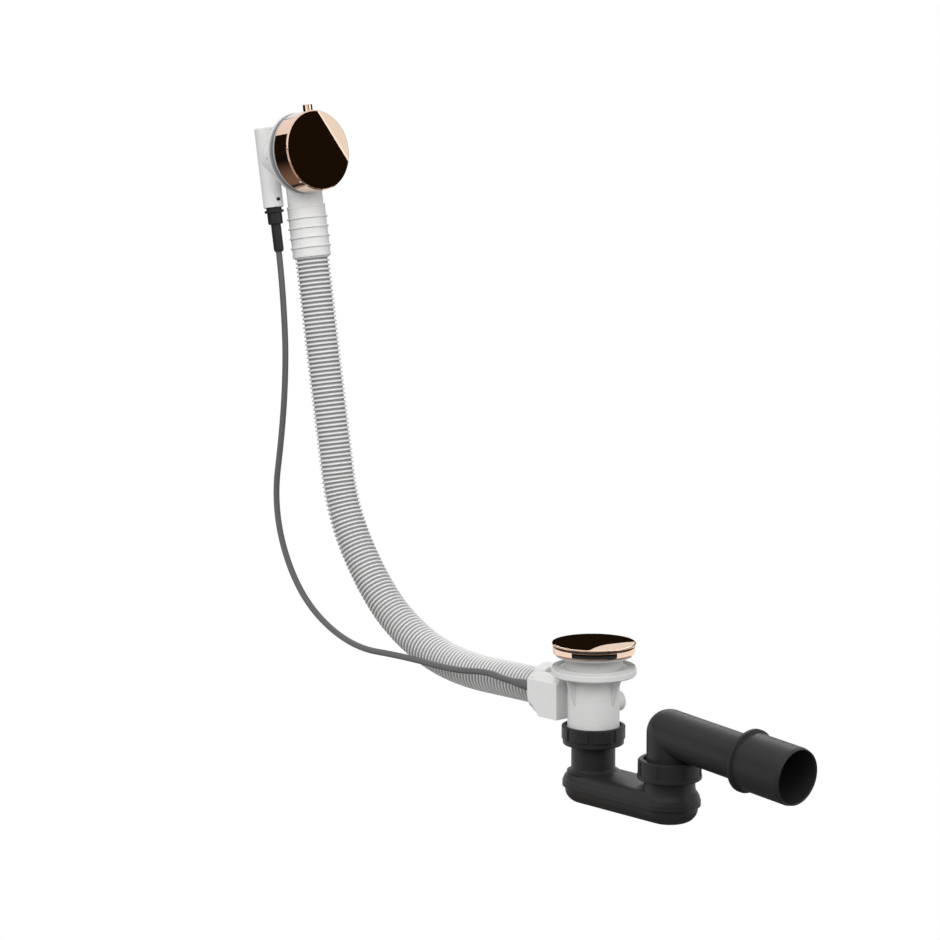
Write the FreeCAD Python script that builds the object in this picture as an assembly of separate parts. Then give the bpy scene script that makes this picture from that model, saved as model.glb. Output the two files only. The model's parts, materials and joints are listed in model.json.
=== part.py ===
import FreeCAD, Part
import math
import os

# Bath waste and overflow: a turning overflow knob pulls a cable that lifts the drain plug, an overflow hose
# joins both, and a trap with a sloping outlet pipe hangs under the drain.
# All sizes are in millimetres. The origin is the centre of the seal under the bath's floor, Z points up,
# the overflow stands on the -X side and the outlet pipe runs towards +X.

V = FreeCAD.Vector

# Fits
play = 0.3            # free gap between pieces that move past each other
running = 0.05        # radial clearance of a turning or sliding fit
seat = 0.1            # radial clearance of pieces pushed together for good

# Overflow: where its knob is and how it leans back with the bath's end wall
overflow_x = -367.05
overflow_z = 431.6
overflow_lean = 10.075

# Knob. Depths here count from the knob's face backwards.
knob_r = 37.7
knob_cap_depth = 19.0
knob_cap_wall = 1.2
knob_cap_face = 1.5
knob_edge = 0.8
knob_skirt = 2.4
knob_wall = 2.0
knob_plate = 2.2
knob_boss_r = 7.0
pin_r = 4.5
pin_depth = 8.2
pin_stand = 5.9
pin_root = 8.0
knob_turn = 50.0
spindle_r = 4.0
spindle_flat = 3.2
water_gap = 2.2

# Front flange, seal and rear body of the overflow
front_flange_r = knob_r - 4.2
front_flange_t = 1.7
flange_boss_r = 7.5
window_in_r = 10.0
window_out_r = 20.5
overflow_seal_r = 37.6
overflow_seal_t = 2.5
rear_flange_r = 38.4
rear_flange_t = 2.8
drum_r = 23.0
drum_wall = 2.0
drum_len = 28.5
drum_floor = 16.0
drum_floor_t = 2.5
flange_screw_off = 16.5
screw_r = 2.0
screw_head_r = 3.6
housing_screw_r = 1.5
stub_y = 12.5
stub_depth = 43.0
stub_r = 16.8
stub_wall = 1.8
stub_end = 47.7
barb_len = 23.0
snap_slot_w = 1.2
snap_slot_h = 2.6
snap_slot_d = 1.1

# Rack and pinion behind the drum
gear_module = 1.0
gear_teeth = 16
gear_w = 8.9
rack_w = 8.0
column_r = 9.5
column_wall = 1.8
column_y = -13.0
column_depth = 59.6
column_top = -26.5
column_end = 46.1
column_cap_t = 2.5
rack_top = -14.0
rack_end = 24.0
rack_tail_r = 2.0
barrel_r = 3.4
barrel_from = 35.1
barrel_len = 8.0
port_w = 5.3
port_h = 3.1
gear_chamber_wall = 2.1
nipple_r = 5.0
nipple_len = 9.8

# Cable
cable_r = 2.9
cable_bore = 1.0
wire_r = 0.7
wire_reach = 24.0
gland_ring_r = 9.1
gland_ring_t = 2.0
gland_r = 7.0
gland_neck_r = 7.3
gland_gap = 2.8
gland_len = 13.0
relief_r = 4.7
relief_len = 26.0

# Hose and its two ends
hose_ridge_r = 16.35
hose_root_r = 14.3
hose_bore_r = 13.4
hose_pitch = 8.2
sleeve_len = 48.6
sleeve_r = 17.9
sleeve_rib_r = 19.2
sleeve_rib_t = 1.2
sleeve_ribs = 4
sleeve_rib_from = 11.7
sleeve_rib_step = 9.2
port_axis_z = -33.4
port_face_x = -67.8
port_r = 20.3
port_bore_r = 16.0
hose_washer_t = 1.7
tail_flange_t = 2.0
tail_len = 25.0
union_crest_r = 23.7
union_root_r = 21.9
union_len = 14.2
union_lip = 3.0
union_lobes = 12

# Drain body
flange_r = 37.3
flange_top = -1.8
flange_t = 5.9
tube_r = 22.8
tube_wall = 2.0
thread_r = 24.6
thread_top = -54.0
tube_end = -62.0
gusset_t = 1.6
gusset_out = 33.5
gusset_foot = -32.0
side_boss_r = 9.4
side_boss_z = -35.5
side_boss_y = 29.5
side_bore_r = 7.0
side_cap_t = 2.0
chamber_x = -58.0
chamber_y0 = -6.0
chamber_y1 = 29.0
chamber_top = -16.0
chamber_bottom = -50.0
chamber_wall = 2.0
chamber_floor_t = 1.6

# Seals and trim ring on the bath's floor
flange_seal_r = 36.6
seal_rib_h = 0.8
seal_ribs = 4
neck_r = 25.3
bath_gap = 9.6
trim_seal_r = 33.5
trim_seal_t = 1.8
trim_r = 36.3
trim_foot_r = 34.8
trim_top_r = 35.2
trim_t = 5.6
trim_bore_r = 18.6
trim_tail = 18.0
ledge_drop = 3.0
ledge_out_r = 31.0
ledge_in_r = 24.0
guide_r = 7.0
guide_len = 10.0

# Plug
lid_r = 36.85
lid_t = 3.7
lid_dome = 0.6
lid_seal_out_r = 30.5
lid_seal_in_r = 25.0
stem_r = 4.0
lock_nut_t = 3.5
foot_r = 6.5
foot_t = 3.0

# Lever box and the lever in it
box_x0 = -62.0
box_x1 = -25.0
box_front = -21.0
box_top = -13.9
box_wall = 1.8
box_slope_y = 5.1
box_slope_z = 4.5
box_cut_x = 14.5
box_cut_z = 15.3
shaft_x = -34.0
shaft_z = -43.0
shaft_r = 2.5
cable_in_y = -15.3
cable_arm_l = 17.0
lift_arm_l = 34.0
lift_above = 1.0
lift_below = 2.4
nose_r = 2.5
arm_pin_r = 1.5
rod_r = 1.6
rod_plate_t = 2.5
ferrule_r = 4.55
ferrule_tip_r = 3.4
ferrule_len = 21.0
jacket_end_x = -70.0

# Trap
leg_pitch = 92.5
nut_1_top = -52.3
nut_1_pad_r = 27.9
nut_1_pad_end = -63.8
nut_1_r = 26.8
nut_1_end = -69.0
nut_1_pad_w = 17.3
nut_1_pad_turn = 17.3
nut_chamfer = 0.6
cone_washer_t = 1.8
inlet_r = 19.35
pipe_wall = 1.75
inlet_collar_t = 2.2
trap_top = -93.0
trap_r = 26.7
trap_shoulder = 9.7
trap_seam = -104.3
trap_band_r = 27.0
trap_band_h = 2.65
trap_low_band_h = 2.1
trap_low_r = 24.6
trap_bottom = -120.8
trap_corner = 12.0
trap_wall = 2.0
socket_r = 22.2
socket_thread_r = 23.9
socket_thread_top = -72.0
socket_foot = -90.5
riser_r = 20.05
riser_foot = -88.0
nut_2_top = -65.9
nut_2_r = 26.6
nut_2_band_r = 27.8
nut_2_band = -79.0
nut_2_end = -83.0
nut_2_hole_r = 22.7
nut_2_pad_w = 17.2
nut_2_pad_turn = 2.3
riser_washer_t = 2.0

# Outlet pipe
elbow_z = -43.15
outlet_fall = 4.879
outlet_len = 146.0
outlet_wall = 2.0
wide_r = 25.0
wide_len = 54.0
wide_collar_r = 27.5
wide_collar_t = 2.5
mouth_r = 24.0
mouth_len = 3.7
pipe_overlap = 12.0

os.makedirs("parts", exist_ok=True)


# Building helpers
def spin(points):
    """Turn a closed outline of (radius, height) pairs about Z."""
    corners = [V(r, 0, z) for r, z in points]
    face = Part.Face(Part.makePolygon(corners + corners[:1]))
    return face.revolve(V(0, 0, 0), V(0, 0, 1), 360)


def ring(outer, inner, low, high):
    return spin([(inner, low), (outer, low), (outer, high), (inner, high)])


def rod(r, low, high, x=0.0, y=0.0):
    return Part.makeCylinder(r, high - low, V(x, y, low))


def rod_x(r, x0, x1, y, z):
    return Part.makeCylinder(r, x1 - x0, V(x0, y, z), V(1, 0, 0))


def rod_y(r, y0, y1, x, z):
    return Part.makeCylinder(r, y1 - y0, V(x, y0, z), V(0, 1, 0))


def block(x0, x1, y0, y1, z0, z1):
    return Part.makeBox(x1 - x0, y1 - y0, z1 - z0, V(x0, y0, z0))


def join(*shapes):
    whole = shapes[0].multiFuse(list(shapes[1:]))
    return whole.removeSplitter()


def around_z(shape, degrees):
    turned = shape.copy()
    turned.rotate(V(0, 0, 0), V(0, 0, 1), degrees)
    return turned


def laid_x(shape, x, y, z):
    """Lay a shape that was turned about Z along X, its zero height at x."""
    laid = shape.copy()
    laid.Placement = FreeCAD.Placement(V(x, y, z), FreeCAD.Rotation(V(0, 1, 0), 90))
    return laid


def obround(r, low, high):
    """Upright slab with round ends about the trap's two legs."""
    a = V(0, -r, low)
    b = V(leg_pitch, -r, low)
    c = V(leg_pitch, r, low)
    d = V(0, r, low)
    edges = [Part.LineSegment(a, b).toShape(), Part.Arc(b, V(leg_pitch + r, 0, low), c).toShape()]
    edges += [Part.LineSegment(c, d).toShape(), Part.Arc(d, V(-r, 0, low), a).toShape()]
    return Part.Face(Part.Wire(edges)).extrude(V(0, 0, high - low))


def rounded_rim(shape, radius, height):
    """Round the rim edges that lie at one height."""
    rim = [e for e in shape.Edges if abs(e.BoundBox.ZMin - height) < 1e-6 and e.BoundBox.ZLength < 1e-6]
    return shape.makeFillet(radius, rim)


def keep(name, shape):
    if shape.ShapeType == "Compound" and len(shape.Solids) == 1:
        shape = shape.Solids[0]
    shape.exportStep("parts/" + name + ".step")
    print(name, "solids", len(shape.Solids), "valid", shape.isValid(), "volume", round(shape.Volume))


# The overflow's own frame: local X runs down the wall, Y stays, local Z points out of the wall towards the
# bather, and every depth behind the knob's face is a negative local Z.
lean = math.radians(overflow_lean)
knob_centre = V(overflow_x, 0, overflow_z)
wall_down = V(math.sin(lean), 0, -math.cos(lean))
wall_out = V(math.cos(lean), 0, math.sin(lean))
overflow_place = FreeCAD.Placement(knob_centre, FreeCAD.Rotation(V(0, 1, 0), 90 - overflow_lean))


def at_overflow(shape):
    placed = shape.copy()
    placed.Placement = overflow_place.multiply(placed.Placement)
    return placed


def behind(points):
    """Outline of (radius, depth behind the knob's face) turned about the knob's axis."""
    return spin([(r, -s) for r, s in points])


def disc(r, s0, s1, d=0.0, y=0.0):
    """Round bar along the knob's axis between two depths."""
    return rod(r, -s1, -s0, d, y)


def down(r, d0, d1, s, y):
    """Round bar down the wall, at one depth and one y."""
    return rod_x(r, d0, d1, y, -s)


def down_spin(points, s, y):
    """Outline of (radius, distance down the wall) turned about a line down the wall."""
    return laid_x(spin(points), 0, y, -s)


# Knob: metal cap over a plastic hub, with the finger pin on top
skirt_depth = knob_cap_depth + knob_skirt
cap_in_r = knob_r - knob_cap_wall
cap = behind([(0, 0), (knob_r - knob_edge, 0), (knob_r, knob_edge), (knob_r, knob_cap_depth),
              (cap_in_r, knob_cap_depth), (cap_in_r, knob_cap_face), (0, knob_cap_face)])
pin_hole = down(pin_r + seat, -knob_r - 5, -(knob_r - pin_root), pin_depth, 0)
cap = cap.cut(pin_hole)
keep("knob_cap", at_overflow(cap))

hub_r = cap_in_r - seat
hub_in_r = hub_r - knob_wall
hub_plate = knob_cap_face + knob_plate
boss_end = skirt_depth - 2.7
hub = behind([(0, knob_cap_face), (hub_r, knob_cap_face), (hub_r, knob_cap_depth),
              (knob_r - 0.1, knob_cap_depth), (knob_r - 0.1, skirt_depth), (hub_in_r, skirt_depth),
              (hub_in_r, hub_plate), (knob_boss_r, hub_plate), (knob_boss_r, boss_end), (0, boss_end)])
pin_block = down(pin_r + 2.0, -hub_in_r - 1, -(knob_r - pin_root - 2.5), pin_depth, 0)
pin_block = pin_block.common(disc(hub_in_r + 1, hub_plate - 1, skirt_depth))
ribs = []
for k in range(6):
    rib = block(-0.8, 0.8, knob_boss_r - 1, hub_in_r + 0.5, -hub_plate - 4, -hub_plate + 1)
    ribs.append(around_z(rib, 60 * k))
hub = join(hub, pin_block, *ribs)


def spindle_socket(s0, s1, clearance):
    """Round hole with one flat that takes the spindle's driving end."""
    round_hole = disc(spindle_r + clearance, s0, s1)
    beyond = spindle_r + 2
    return round_hole.common(block(-beyond, spindle_flat + clearance, -beyond, beyond, -s1, -s0))


hub = hub.cut(pin_hole).cut(spindle_socket(hub_plate, boss_end + 1, seat / 2))
keep("knob_hub", at_overflow(hub))

pin_in = -(knob_r - pin_root)
pin_out = -(knob_r + pin_stand)
pin = down_spin([(0, pin_out), (pin_r - 0.6, pin_out), (pin_r, pin_out + 0.6), (pin_r, pin_in), (0, pin_in)],
                pin_depth, 0)
keep("knob_pin", at_overflow(pin))

# Depths of the pieces behind the knob
seal_front = skirt_depth + water_gap
front_flange_s = seal_front - front_flange_t
seal_back = seal_front + overflow_seal_t
rear_flange_back = seal_back + rear_flange_t
floor_s = rear_flange_back + drum_floor
housing_s = floor_s + drum_floor_t
drum_back = rear_flange_back + drum_len
gear_r = gear_module * gear_teeth / 2
gear_tip = gear_r + gear_module
gear_root = gear_r - 1.3 * gear_module
chamber_r = gear_tip + 0.4
gear_s = column_depth - rack_w / 2 - 1.0
gear_end = gear_s + gear_w
collar_s = gear_s - 1.1
boss_back = collar_s - play
chamber_back = gear_end + 0.6
bearing_back = chamber_back + 2.0
housing_back = bearing_back + 1.5

# Spindle with a collar that the pinion sits against
spindle_end = bearing_back - play
spindle = join(disc(spindle_r, hub_plate, spindle_end), disc(spindle_r + 1.5, collar_s, gear_s))
flat_cut = block(spindle_flat, spindle_r + 2, -6, 6, -boss_end, -hub_plate + 1)
spindle = spindle.cut(flat_cut)
spindle = spindle.cut(block(spindle_flat, spindle_r + 2, -6, 6, -spindle_end - 1, -gear_s))
keep("spindle", at_overflow(spindle))

# Pinion: sixteen teeth with rolling flanks, the tooth backs off the middle so that a gap faces the rack
tooth_t = math.pi * gear_module / 2 - play
base_r = gear_r * math.cos(math.radians(20))
rolled = math.tan(math.radians(20)) - math.radians(20)


def tooth_half_angle(r):
    tilt = math.acos(min(1.0, base_r / r))
    return tooth_t / (2 * gear_r) + rolled - (math.tan(tilt) - tilt)


flank = [gear_root, max(base_r, gear_root + 0.3), gear_r, (gear_r + gear_tip) / 2, gear_tip]
outline = []
for k in range(gear_teeth):
    middle = -math.pi / 2 + (k + 0.5) * 2 * math.pi / gear_teeth
    for r in flank:
        angle = middle - tooth_half_angle(r)
        outline.append(V(r * math.cos(angle), r * math.sin(angle), -gear_end))
    for r in reversed(flank):
        angle = middle + tooth_half_angle(r)
        outline.append(V(r * math.cos(angle), r * math.sin(angle), -gear_end))
pinion = Part.Face(Part.makePolygon(outline + outline[:1])).extrude(V(0, 0, gear_w))
pinion = pinion.cut(spindle_socket(gear_s - 1, gear_end + 1, seat / 2))
keep("pinion", at_overflow(pinion))

# O-ring that keeps water out of the rack housing
ring_r = 0.95
gland_s = boss_back - 2.6
spindle_ring = Part.makeTorus(spindle_r + running + ring_r, ring_r, V(0, 0, -gland_s - ring_r), V(0, 0, 1))
keep("spindle_oring", at_overflow(spindle_ring))

# Front flange that clamps the bath's wall, with four water windows and the spindle's front bearing
flange = join(disc(front_flange_r, front_flange_s, seal_front), disc(flange_boss_r, front_flange_s - 2.5,
                                                                    seal_back + 4))
windows = ring(window_out_r, window_in_r, -seal_front - 1, -front_flange_s + 1)
windows = windows.cut(block(-6, 6, -30, 30, -seal_front - 2, -front_flange_s + 2))
windows = windows.cut(block(-30, 30, -2, 2, -seal_front - 2, -front_flange_s + 2))
flange = flange.cut(windows).cut(disc(spindle_r + running, 0, seal_back + 10))
for side in (-1, 1):
    flange = flange.cut(disc(screw_r + seat, 0, seal_back, 0, side * flange_screw_off))
keep("front_flange", at_overflow(flange))

screw_tip = floor_s - 4
screws = []
for side in (-1, 1):
    y = side * flange_screw_off
    screw = join(disc(screw_head_r, front_flange_s - 1.9, front_flange_s, 0, y),
                 disc(screw_r, front_flange_s - 1, screw_tip, 0, y))
    slot = block(-0.5, 0.5, y - 5, y + 5, -front_flange_s + 0.9, -front_flange_s + 3)
    screws.append(screw.cut(slot))
keep("overflow_screws", at_overflow(Part.makeCompound(screws)))

spigot_r = drum_r + 1.6
overflow_seal = ring(overflow_seal_r, spigot_r + seat, -seal_back, -seal_front)
keep("overflow_seal", at_overflow(overflow_seal))

# Rear body of the overflow: flange, drum, floor, and the stub that the hose hangs from
drum_in = drum_r - drum_wall
stub_start = chamber_r + gear_chamber_wall + play
body = behind([(0, seal_back - 2), (spigot_r, seal_back - 2), (spigot_r, seal_back), (rear_flange_r, seal_back),
               (rear_flange_r, rear_flange_back - 1), (rear_flange_r - 1, rear_flange_back),
               (drum_r + 3.5, rear_flange_back), (drum_r + 1, rear_flange_back + 1.2),
               (drum_r, rear_flange_back + 4), (drum_r, drum_back), (0, drum_back)])
stub = down(stub_r, stub_start, stub_end, stub_depth, stub_y)
barb_r = hose_bore_r - seat
barb = down(barb_r, stub_end - 1, stub_end + barb_len, stub_depth, stub_y)
body = join(body, stub, barb)
body = body.cut(disc(drum_in, 0, floor_s))
pocket = disc(drum_in, housing_s, drum_back + 1).cut(stub)
body = body.cut(pocket)
body = body.cut(down(column_r + play, column_top - 9, column_end + 5, column_depth, column_y))
spindle_boss = disc(flange_boss_r, floor_s, boss_back)
screw_posts = []
for side in (-1, 1):
    y = side * flange_screw_off
    post = disc(screw_head_r + 0.2, seal_back + 1, floor_s + 0.5, 0, y)
    low, high = sorted((y, side * (drum_in + 0.5)))
    post_rib = block(-1.5, 1.5, low, high, -floor_s - 0.5, -seal_back - 1)
    screw_posts += [post, post_rib]
housing_posts = ((-15.5, 6.5), (6.5, 15.5))
for d, y in housing_posts:
    screw_posts.append(disc(3.4, floor_s - 6, floor_s + 0.5, d, y))
body = join(body, spindle_boss, *screw_posts)
stub_roof = stub_start + stub_wall
body = body.cut(down(stub_r - stub_wall, stub_roof, stub_end - 3, stub_depth, stub_y))
body = body.cut(down(barb_r - 2, stub_roof, stub_end + barb_len + 1, stub_depth, stub_y))
body = body.cut(disc(spindle_r + running, 0, boss_back + 1))
body = body.cut(disc(spindle_r + running + 2 * ring_r + 0.05, gland_s, boss_back + 1))
for side in (-1, 1):
    body = body.cut(disc(screw_r + seat, 0, screw_tip + 0.5, 0, side * flange_screw_off))
for d, y in housing_posts:
    body = body.cut(disc(housing_screw_r + seat, floor_s - 5, housing_s + 1, d, y))
snap_s = housing_s + 1.4
for low, high in ((-drum_r - 1, -drum_in + 0.5), (drum_in - 0.5, drum_r + 1)):
    body = body.cut(block(snap_slot_d - snap_slot_h / 2, snap_slot_d + snap_slot_h / 2, low, high,
                          -snap_s - snap_slot_w / 2, -snap_s + snap_slot_w / 2))
keep("overflow_body", at_overflow(body))

# Rack housing: a column beside a round gear chamber, on a plate screwed to the drum's floor
column_bore = column_r - column_wall
column = down(column_r, column_top, column_end, column_depth, column_y)
nipple = down(nipple_r, column_end - 1, column_end + nipple_len, column_depth, column_y)
plate_r = drum_in - 0.4
plate_back = housing_s + 2.5
housing = disc(plate_r, housing_s, plate_back)
housing = housing.cut(block(stub_start - 0.4, 30, -4.4, 30, -plate_back - 1, -housing_s + 1))
web = block(-10, 10, -16, -6, -column_depth, -housing_s - 1)
chamber = disc(chamber_r + gear_chamber_wall, housing_s + 1, housing_back)
housing = join(housing, web, chamber, column, nipple)
housing = housing.cut(disc(chamber_r, housing_s - 1, chamber_back))
housing = housing.cut(disc(spindle_r + running, chamber_back - 1, bearing_back))
bore_end = column_end - 2
housing = housing.cut(down(column_bore, column_top - 1, bore_end, column_depth, column_y))
jacket_from = column_end + nipple_len - 5
housing = housing.cut(down(cable_bore + 0.2, bore_end - 1, jacket_from + 1, column_depth, column_y))
housing = housing.cut(down(cable_r + seat, jacket_from, column_end + nipple_len + 1, column_depth, column_y))
port_d = barrel_from + barrel_len / 2
front_s = column_depth - column_r
port = block(port_d - port_h / 2, port_d + port_h / 2, column_y - port_w / 2, column_y + port_w / 2,
             -column_depth, -front_s + 2)
housing = housing.cut(port)
for d, y in housing_posts:
    housing = housing.cut(disc(housing_screw_r + seat, housing_s - 1, plate_back + 1, d, y))
keep("rack_housing", at_overflow(housing))

screws = []
for d, y in housing_posts:
    screw = join(disc(2.9, plate_back, plate_back + 1.8, d, y),
                 disc(housing_screw_r, floor_s - 4.5, plate_back + 1, d, y))
    slot = block(d - 0.4, d + 0.4, y - 4, y + 4, -plate_back - 3, -plate_back - 1.1)
    screws.append(screw.cut(slot))
keep("housing_screws", at_overflow(Part.makeCompound(screws)))

cap_top = column_top - column_cap_t
column_cap = down_spin([(0, cap_top), (column_r - 0.8, cap_top), (column_r, cap_top + 0.8),
                        (column_r, column_top), (column_bore - seat, column_top),
                        (column_bore - seat, column_top + 3.5), (0, column_top + 3.5)], column_depth, column_y)
keep("column_cap", at_overflow(column_cap))

# Rack: a round bar with one flat side that carries the teeth
travel = math.radians(knob_turn) * gear_r
rack_tip_y = -(gear_r - 0.95 * gear_module)
rack_root_y = -(gear_tip + play)
rack = down(column_bore - running, rack_top, rack_end, column_depth, column_y)
half_w = rack_w / 2
rack = rack.common(block(rack_top - 1, rack_end + 1, column_y - 20, rack_tip_y,
                         -column_depth - half_w, -column_depth + half_w))
pitch = math.pi * gear_module
slope = math.tan(math.radians(20))
tip_half = tooth_t / 2 - (gear_r + rack_tip_y) * slope
root_half = tooth_t / 2 + (-rack_root_y - gear_r) * slope
gaps = []
first = math.ceil(rack_top / pitch) - 1
last = math.floor((rack_end - 2) / pitch)
for k in range(first, last):
    left = k * pitch
    right = (k + 1) * pitch
    corners = [V(left + root_half, rack_root_y, 0), V(right - root_half, rack_root_y, 0),
               V(right - tip_half, rack_tip_y, 0), V(right - tip_half, rack_tip_y + 2, 0),
               V(left + tip_half, rack_tip_y + 2, 0), V(left + tip_half, rack_tip_y, 0)]
    gap = Part.Face(Part.makePolygon(corners + corners[:1])).extrude(V(0, 0, 3 * rack_w))
    gap.translate(V(0, 0, -column_depth - 1.5 * rack_w))
    gaps.append(gap)
rack = rack.cut(Part.makeCompound(gaps))
rack_tail = down(rack_tail_r, rack_end - 1, barrel_from + 4, column_depth, column_y)
rack = join(rack, rack_tail)
keep("rack", at_overflow(rack))

# Upper end of the cable's wire, clamped in a barrel on the rack's tail
barrel_end = barrel_from + barrel_len
rack_wire = down_spin([(0, barrel_from), (barrel_r, barrel_from), (barrel_r, barrel_end), (wire_r, barrel_end),
                       (wire_r, barrel_end + wire_reach), (0, barrel_end + wire_reach)],
                      column_depth, column_y)
rack_wire = rack_wire.cut(down(rack_tail_r + seat / 2, barrel_from - 1, barrel_from + 4, column_depth, column_y))
keep("rack_wire", at_overflow(rack_wire))

# Gland nut and strain relief under the column
nipple_end = column_end + nipple_len
gland_from = column_end + gland_gap
gland_end = gland_from + gland_len
ring_back = gland_from + gland_ring_t
gland = down_spin([(nipple_r + seat, column_end + play), (gland_neck_r, column_end + play),
                   (gland_neck_r, gland_from), (gland_ring_r, gland_from), (gland_ring_r, ring_back),
                   (gland_r, ring_back), (gland_r, gland_end - 0.6), (gland_r - 0.6, gland_end),
                   (relief_r - 0.4, gland_end), (relief_r - 0.4, nipple_end + 2.2),
                   (nipple_r + seat, nipple_end + 2.2)], column_depth, column_y)
keep("gland_nut", at_overflow(gland))
relief_neck_r = relief_r - 0.5
relief = down_spin([(cable_r + seat, nipple_end), (nipple_r, nipple_end), (nipple_r, nipple_end + 2.2),
                    (relief_neck_r, nipple_end + 2.2), (relief_neck_r, gland_end), (relief_r, gland_end),
                    (relief_r, gland_end + relief_len - 2), (relief_r - 0.8, gland_end + relief_len),
                    (cable_r + seat, gland_end + relief_len)], column_depth, column_y)
keep("strain_relief", at_overflow(relief))

# Sleeve that clamps the hose on the stub
sleeve_end = stub_end + sleeve_len
sleeve_in = hose_ridge_r + seat
hose_from = stub_end + 2.2
sleeve_outline = [(barb_r + seat, stub_end), (sleeve_r + 0.25, stub_end), (sleeve_r + 0.25, stub_end + 2.5),
                  (sleeve_r, stub_end + 2.5)]
for k in range(sleeve_ribs):
    middle = stub_end + sleeve_rib_from + k * sleeve_rib_step
    low = middle - sleeve_rib_t / 2
    high = middle + sleeve_rib_t / 2
    sleeve_outline += [(sleeve_r, low), (sleeve_rib_r, low), (sleeve_rib_r, high), (sleeve_r, high)]
sleeve_outline += [(sleeve_r, sleeve_end - 2.5), (sleeve_r + 0.25, sleeve_end - 2.5),
                   (sleeve_r + 0.25, sleeve_end), (sleeve_in, sleeve_end), (sleeve_in, hose_from),
                   (barb_r + seat, hose_from)]
sleeve = down_spin(sleeve_outline, stub_depth, stub_y)
keep("sleeve", at_overflow(sleeve))


# Routes of the hose and the cable: corner points as they hang, tied to wherever their two ends are
def overflow_point(d, s, y):
    return knob_centre + wall_down * d - wall_out * s + V(0, y, 0)


def route(first, ahead, middle, last_run, last):
    """Corner points from the first end to the last; the middle ones follow the ends when these move."""
    traced_first = middle[0][0]
    traced_last = middle[-1][0]
    corners = [first, first + ahead]
    inner = [m[0] for m in middle[1:-1]]
    count = len(inner)
    for k, point in enumerate(inner):
        share = 1.0 - (k + 1.0) / (count + 1.0)
        moved = point + (first - traced_first) * share + (last - traced_last) * (1.0 - share)
        corners.append(moved)
    corners += [last - last_run, last]
    return corners


def rounded(corners, share=0.45):
    """Straight runs joined by tangent arcs."""
    edges = []
    radii = []
    here = corners[0]
    for k in range(1, len(corners) - 1):
        back = corners[k - 1] - corners[k]
        ahead = corners[k + 1] - corners[k]
        cut = share * min(back.Length, ahead.Length)
        back.normalize()
        ahead.normalize()
        turn = math.pi - back.getAngle(ahead)
        radius = cut / math.tan(turn / 2)
        start = corners[k] + back * cut
        stop = corners[k] + ahead * cut
        inward = back + ahead
        inward.normalize()
        reach = math.hypot(radius, cut) - radius
        edges.append(Part.LineSegment(here, start).toShape())
        edges.append(Part.Arc(start, corners[k] + inward * reach, stop).toShape())
        radii.append(round(radius))
        here = stop
    edges.append(Part.LineSegment(here, corners[-1]).toShape())
    return Part.Wire(edges), radii


def along(wire, r):
    """Round bar that follows a wire."""
    start = wire.Edges[0]
    tangent = start.tangentAt(start.FirstParameter)
    circle = Part.Wire([Part.makeCircle(r, start.valueAt(start.FirstParameter), tangent)])
    return wire.makePipeShell([circle], True, False)


def points_of(pairs, y0, y1):
    """Corner points from x, z pairs, the y going evenly from one end's to the other's."""
    found = []
    for k, (x, z) in enumerate(pairs):
        share = k / (len(pairs) - 1.0)
        found.append([V(x, y0 + (y1 - y0) * share, z)])
    return found


cable_in_z = shaft_z + cable_arm_l
cable_first = overflow_point(jacket_from, column_depth, column_y)
cable_last = V(jacket_end_x, cable_in_y, cable_in_z)
cable_middle = points_of([(-416.8, 371.1), (-403.4, 276.9), (-401.0, 231.5), (-406.2, 168.6), (-422.1, 84.9),
                          (-384.6, 8.2), (-311.6, -29.9), (-230.8, -26.7), (-163.4, -28.6), (-120.3, -22.5),
                          (-70.0, -26.0)], column_y, cable_in_y)
cable_corners = route(cable_first, wall_down * 46.0, cable_middle, V(25.5, 0, 0), cable_last)
cable_wire, cable_radii = rounded(cable_corners)
jacket = along(cable_wire, cable_r).cut(along(cable_wire, cable_bore))
keep("cable_jacket", jacket)
print("cable: bend radii", cable_radii, "length", round(cable_wire.Length, 1))
print("cable corners", [(round(p.x, 1), round(p.y, 1), round(p.z, 1)) for p in cable_corners])

# The still part of the inner wire: it starts past the moving upper end and stops before the pull rod's wire
wire_from = barrel_end + wire_reach - jacket_from + 1.5
rod_wire_end = jacket_end_x - 4.5
wire_to = rod_wire_end - travel - 1.5


def trimmed(wire, start, stop):
    """The part of a wire between two lengths along it, cut inside its first and last straight edges."""
    edges = list(wire.Edges)
    first_edge = edges[0]
    last_edge = edges[-1]
    a = first_edge.valueAt(first_edge.FirstParameter) + wall_down * start
    b = first_edge.valueAt(first_edge.LastParameter)
    c = last_edge.valueAt(last_edge.FirstParameter)
    d = last_edge.valueAt(last_edge.LastParameter) - V(stop, 0, 0)
    middle_edges = edges[1:-1]
    if (b - a).dot(wall_down) > 0.01:
        middle_edges = [Part.LineSegment(a, b).toShape()] + middle_edges
    if d.x - c.x > 0.01:
        middle_edges = middle_edges + [Part.LineSegment(c, d).toShape()]
    return Part.Wire(middle_edges)


inner_path = trimmed(cable_wire, wire_from, jacket_end_x - wire_to)
inner = along(inner_path, cable_bore - seat)
keep("inner_wire", inner)

hose_first = overflow_point(hose_from, stub_depth, stub_y)
tail_face = port_face_x - hose_washer_t - tail_flange_t
hose_last = V(tail_face, stub_y, port_axis_z)
hose_middle = points_of([(-400.7, 374.9), (-377.2, 238.7), (-363.7, 164.3), (-350.1, 87.7), (-301.4, 19.4),
                         (-251.3, -16.1), (-189.8, -34.6), (-71.5, -33.4)], stub_y, stub_y)
hose_corners = route(hose_first, wall_down * 66.8, hose_middle, V(32.5, 0, 0), hose_last)
hose_wire, hose_radii = rounded(hose_corners)
print("hose: bend radii", hose_radii, "length", round(hose_wire.Length, 1))
print("hose corners", [(round(p.x, 1), round(p.y, 1), round(p.z, 1)) for p in hose_corners])


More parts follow.
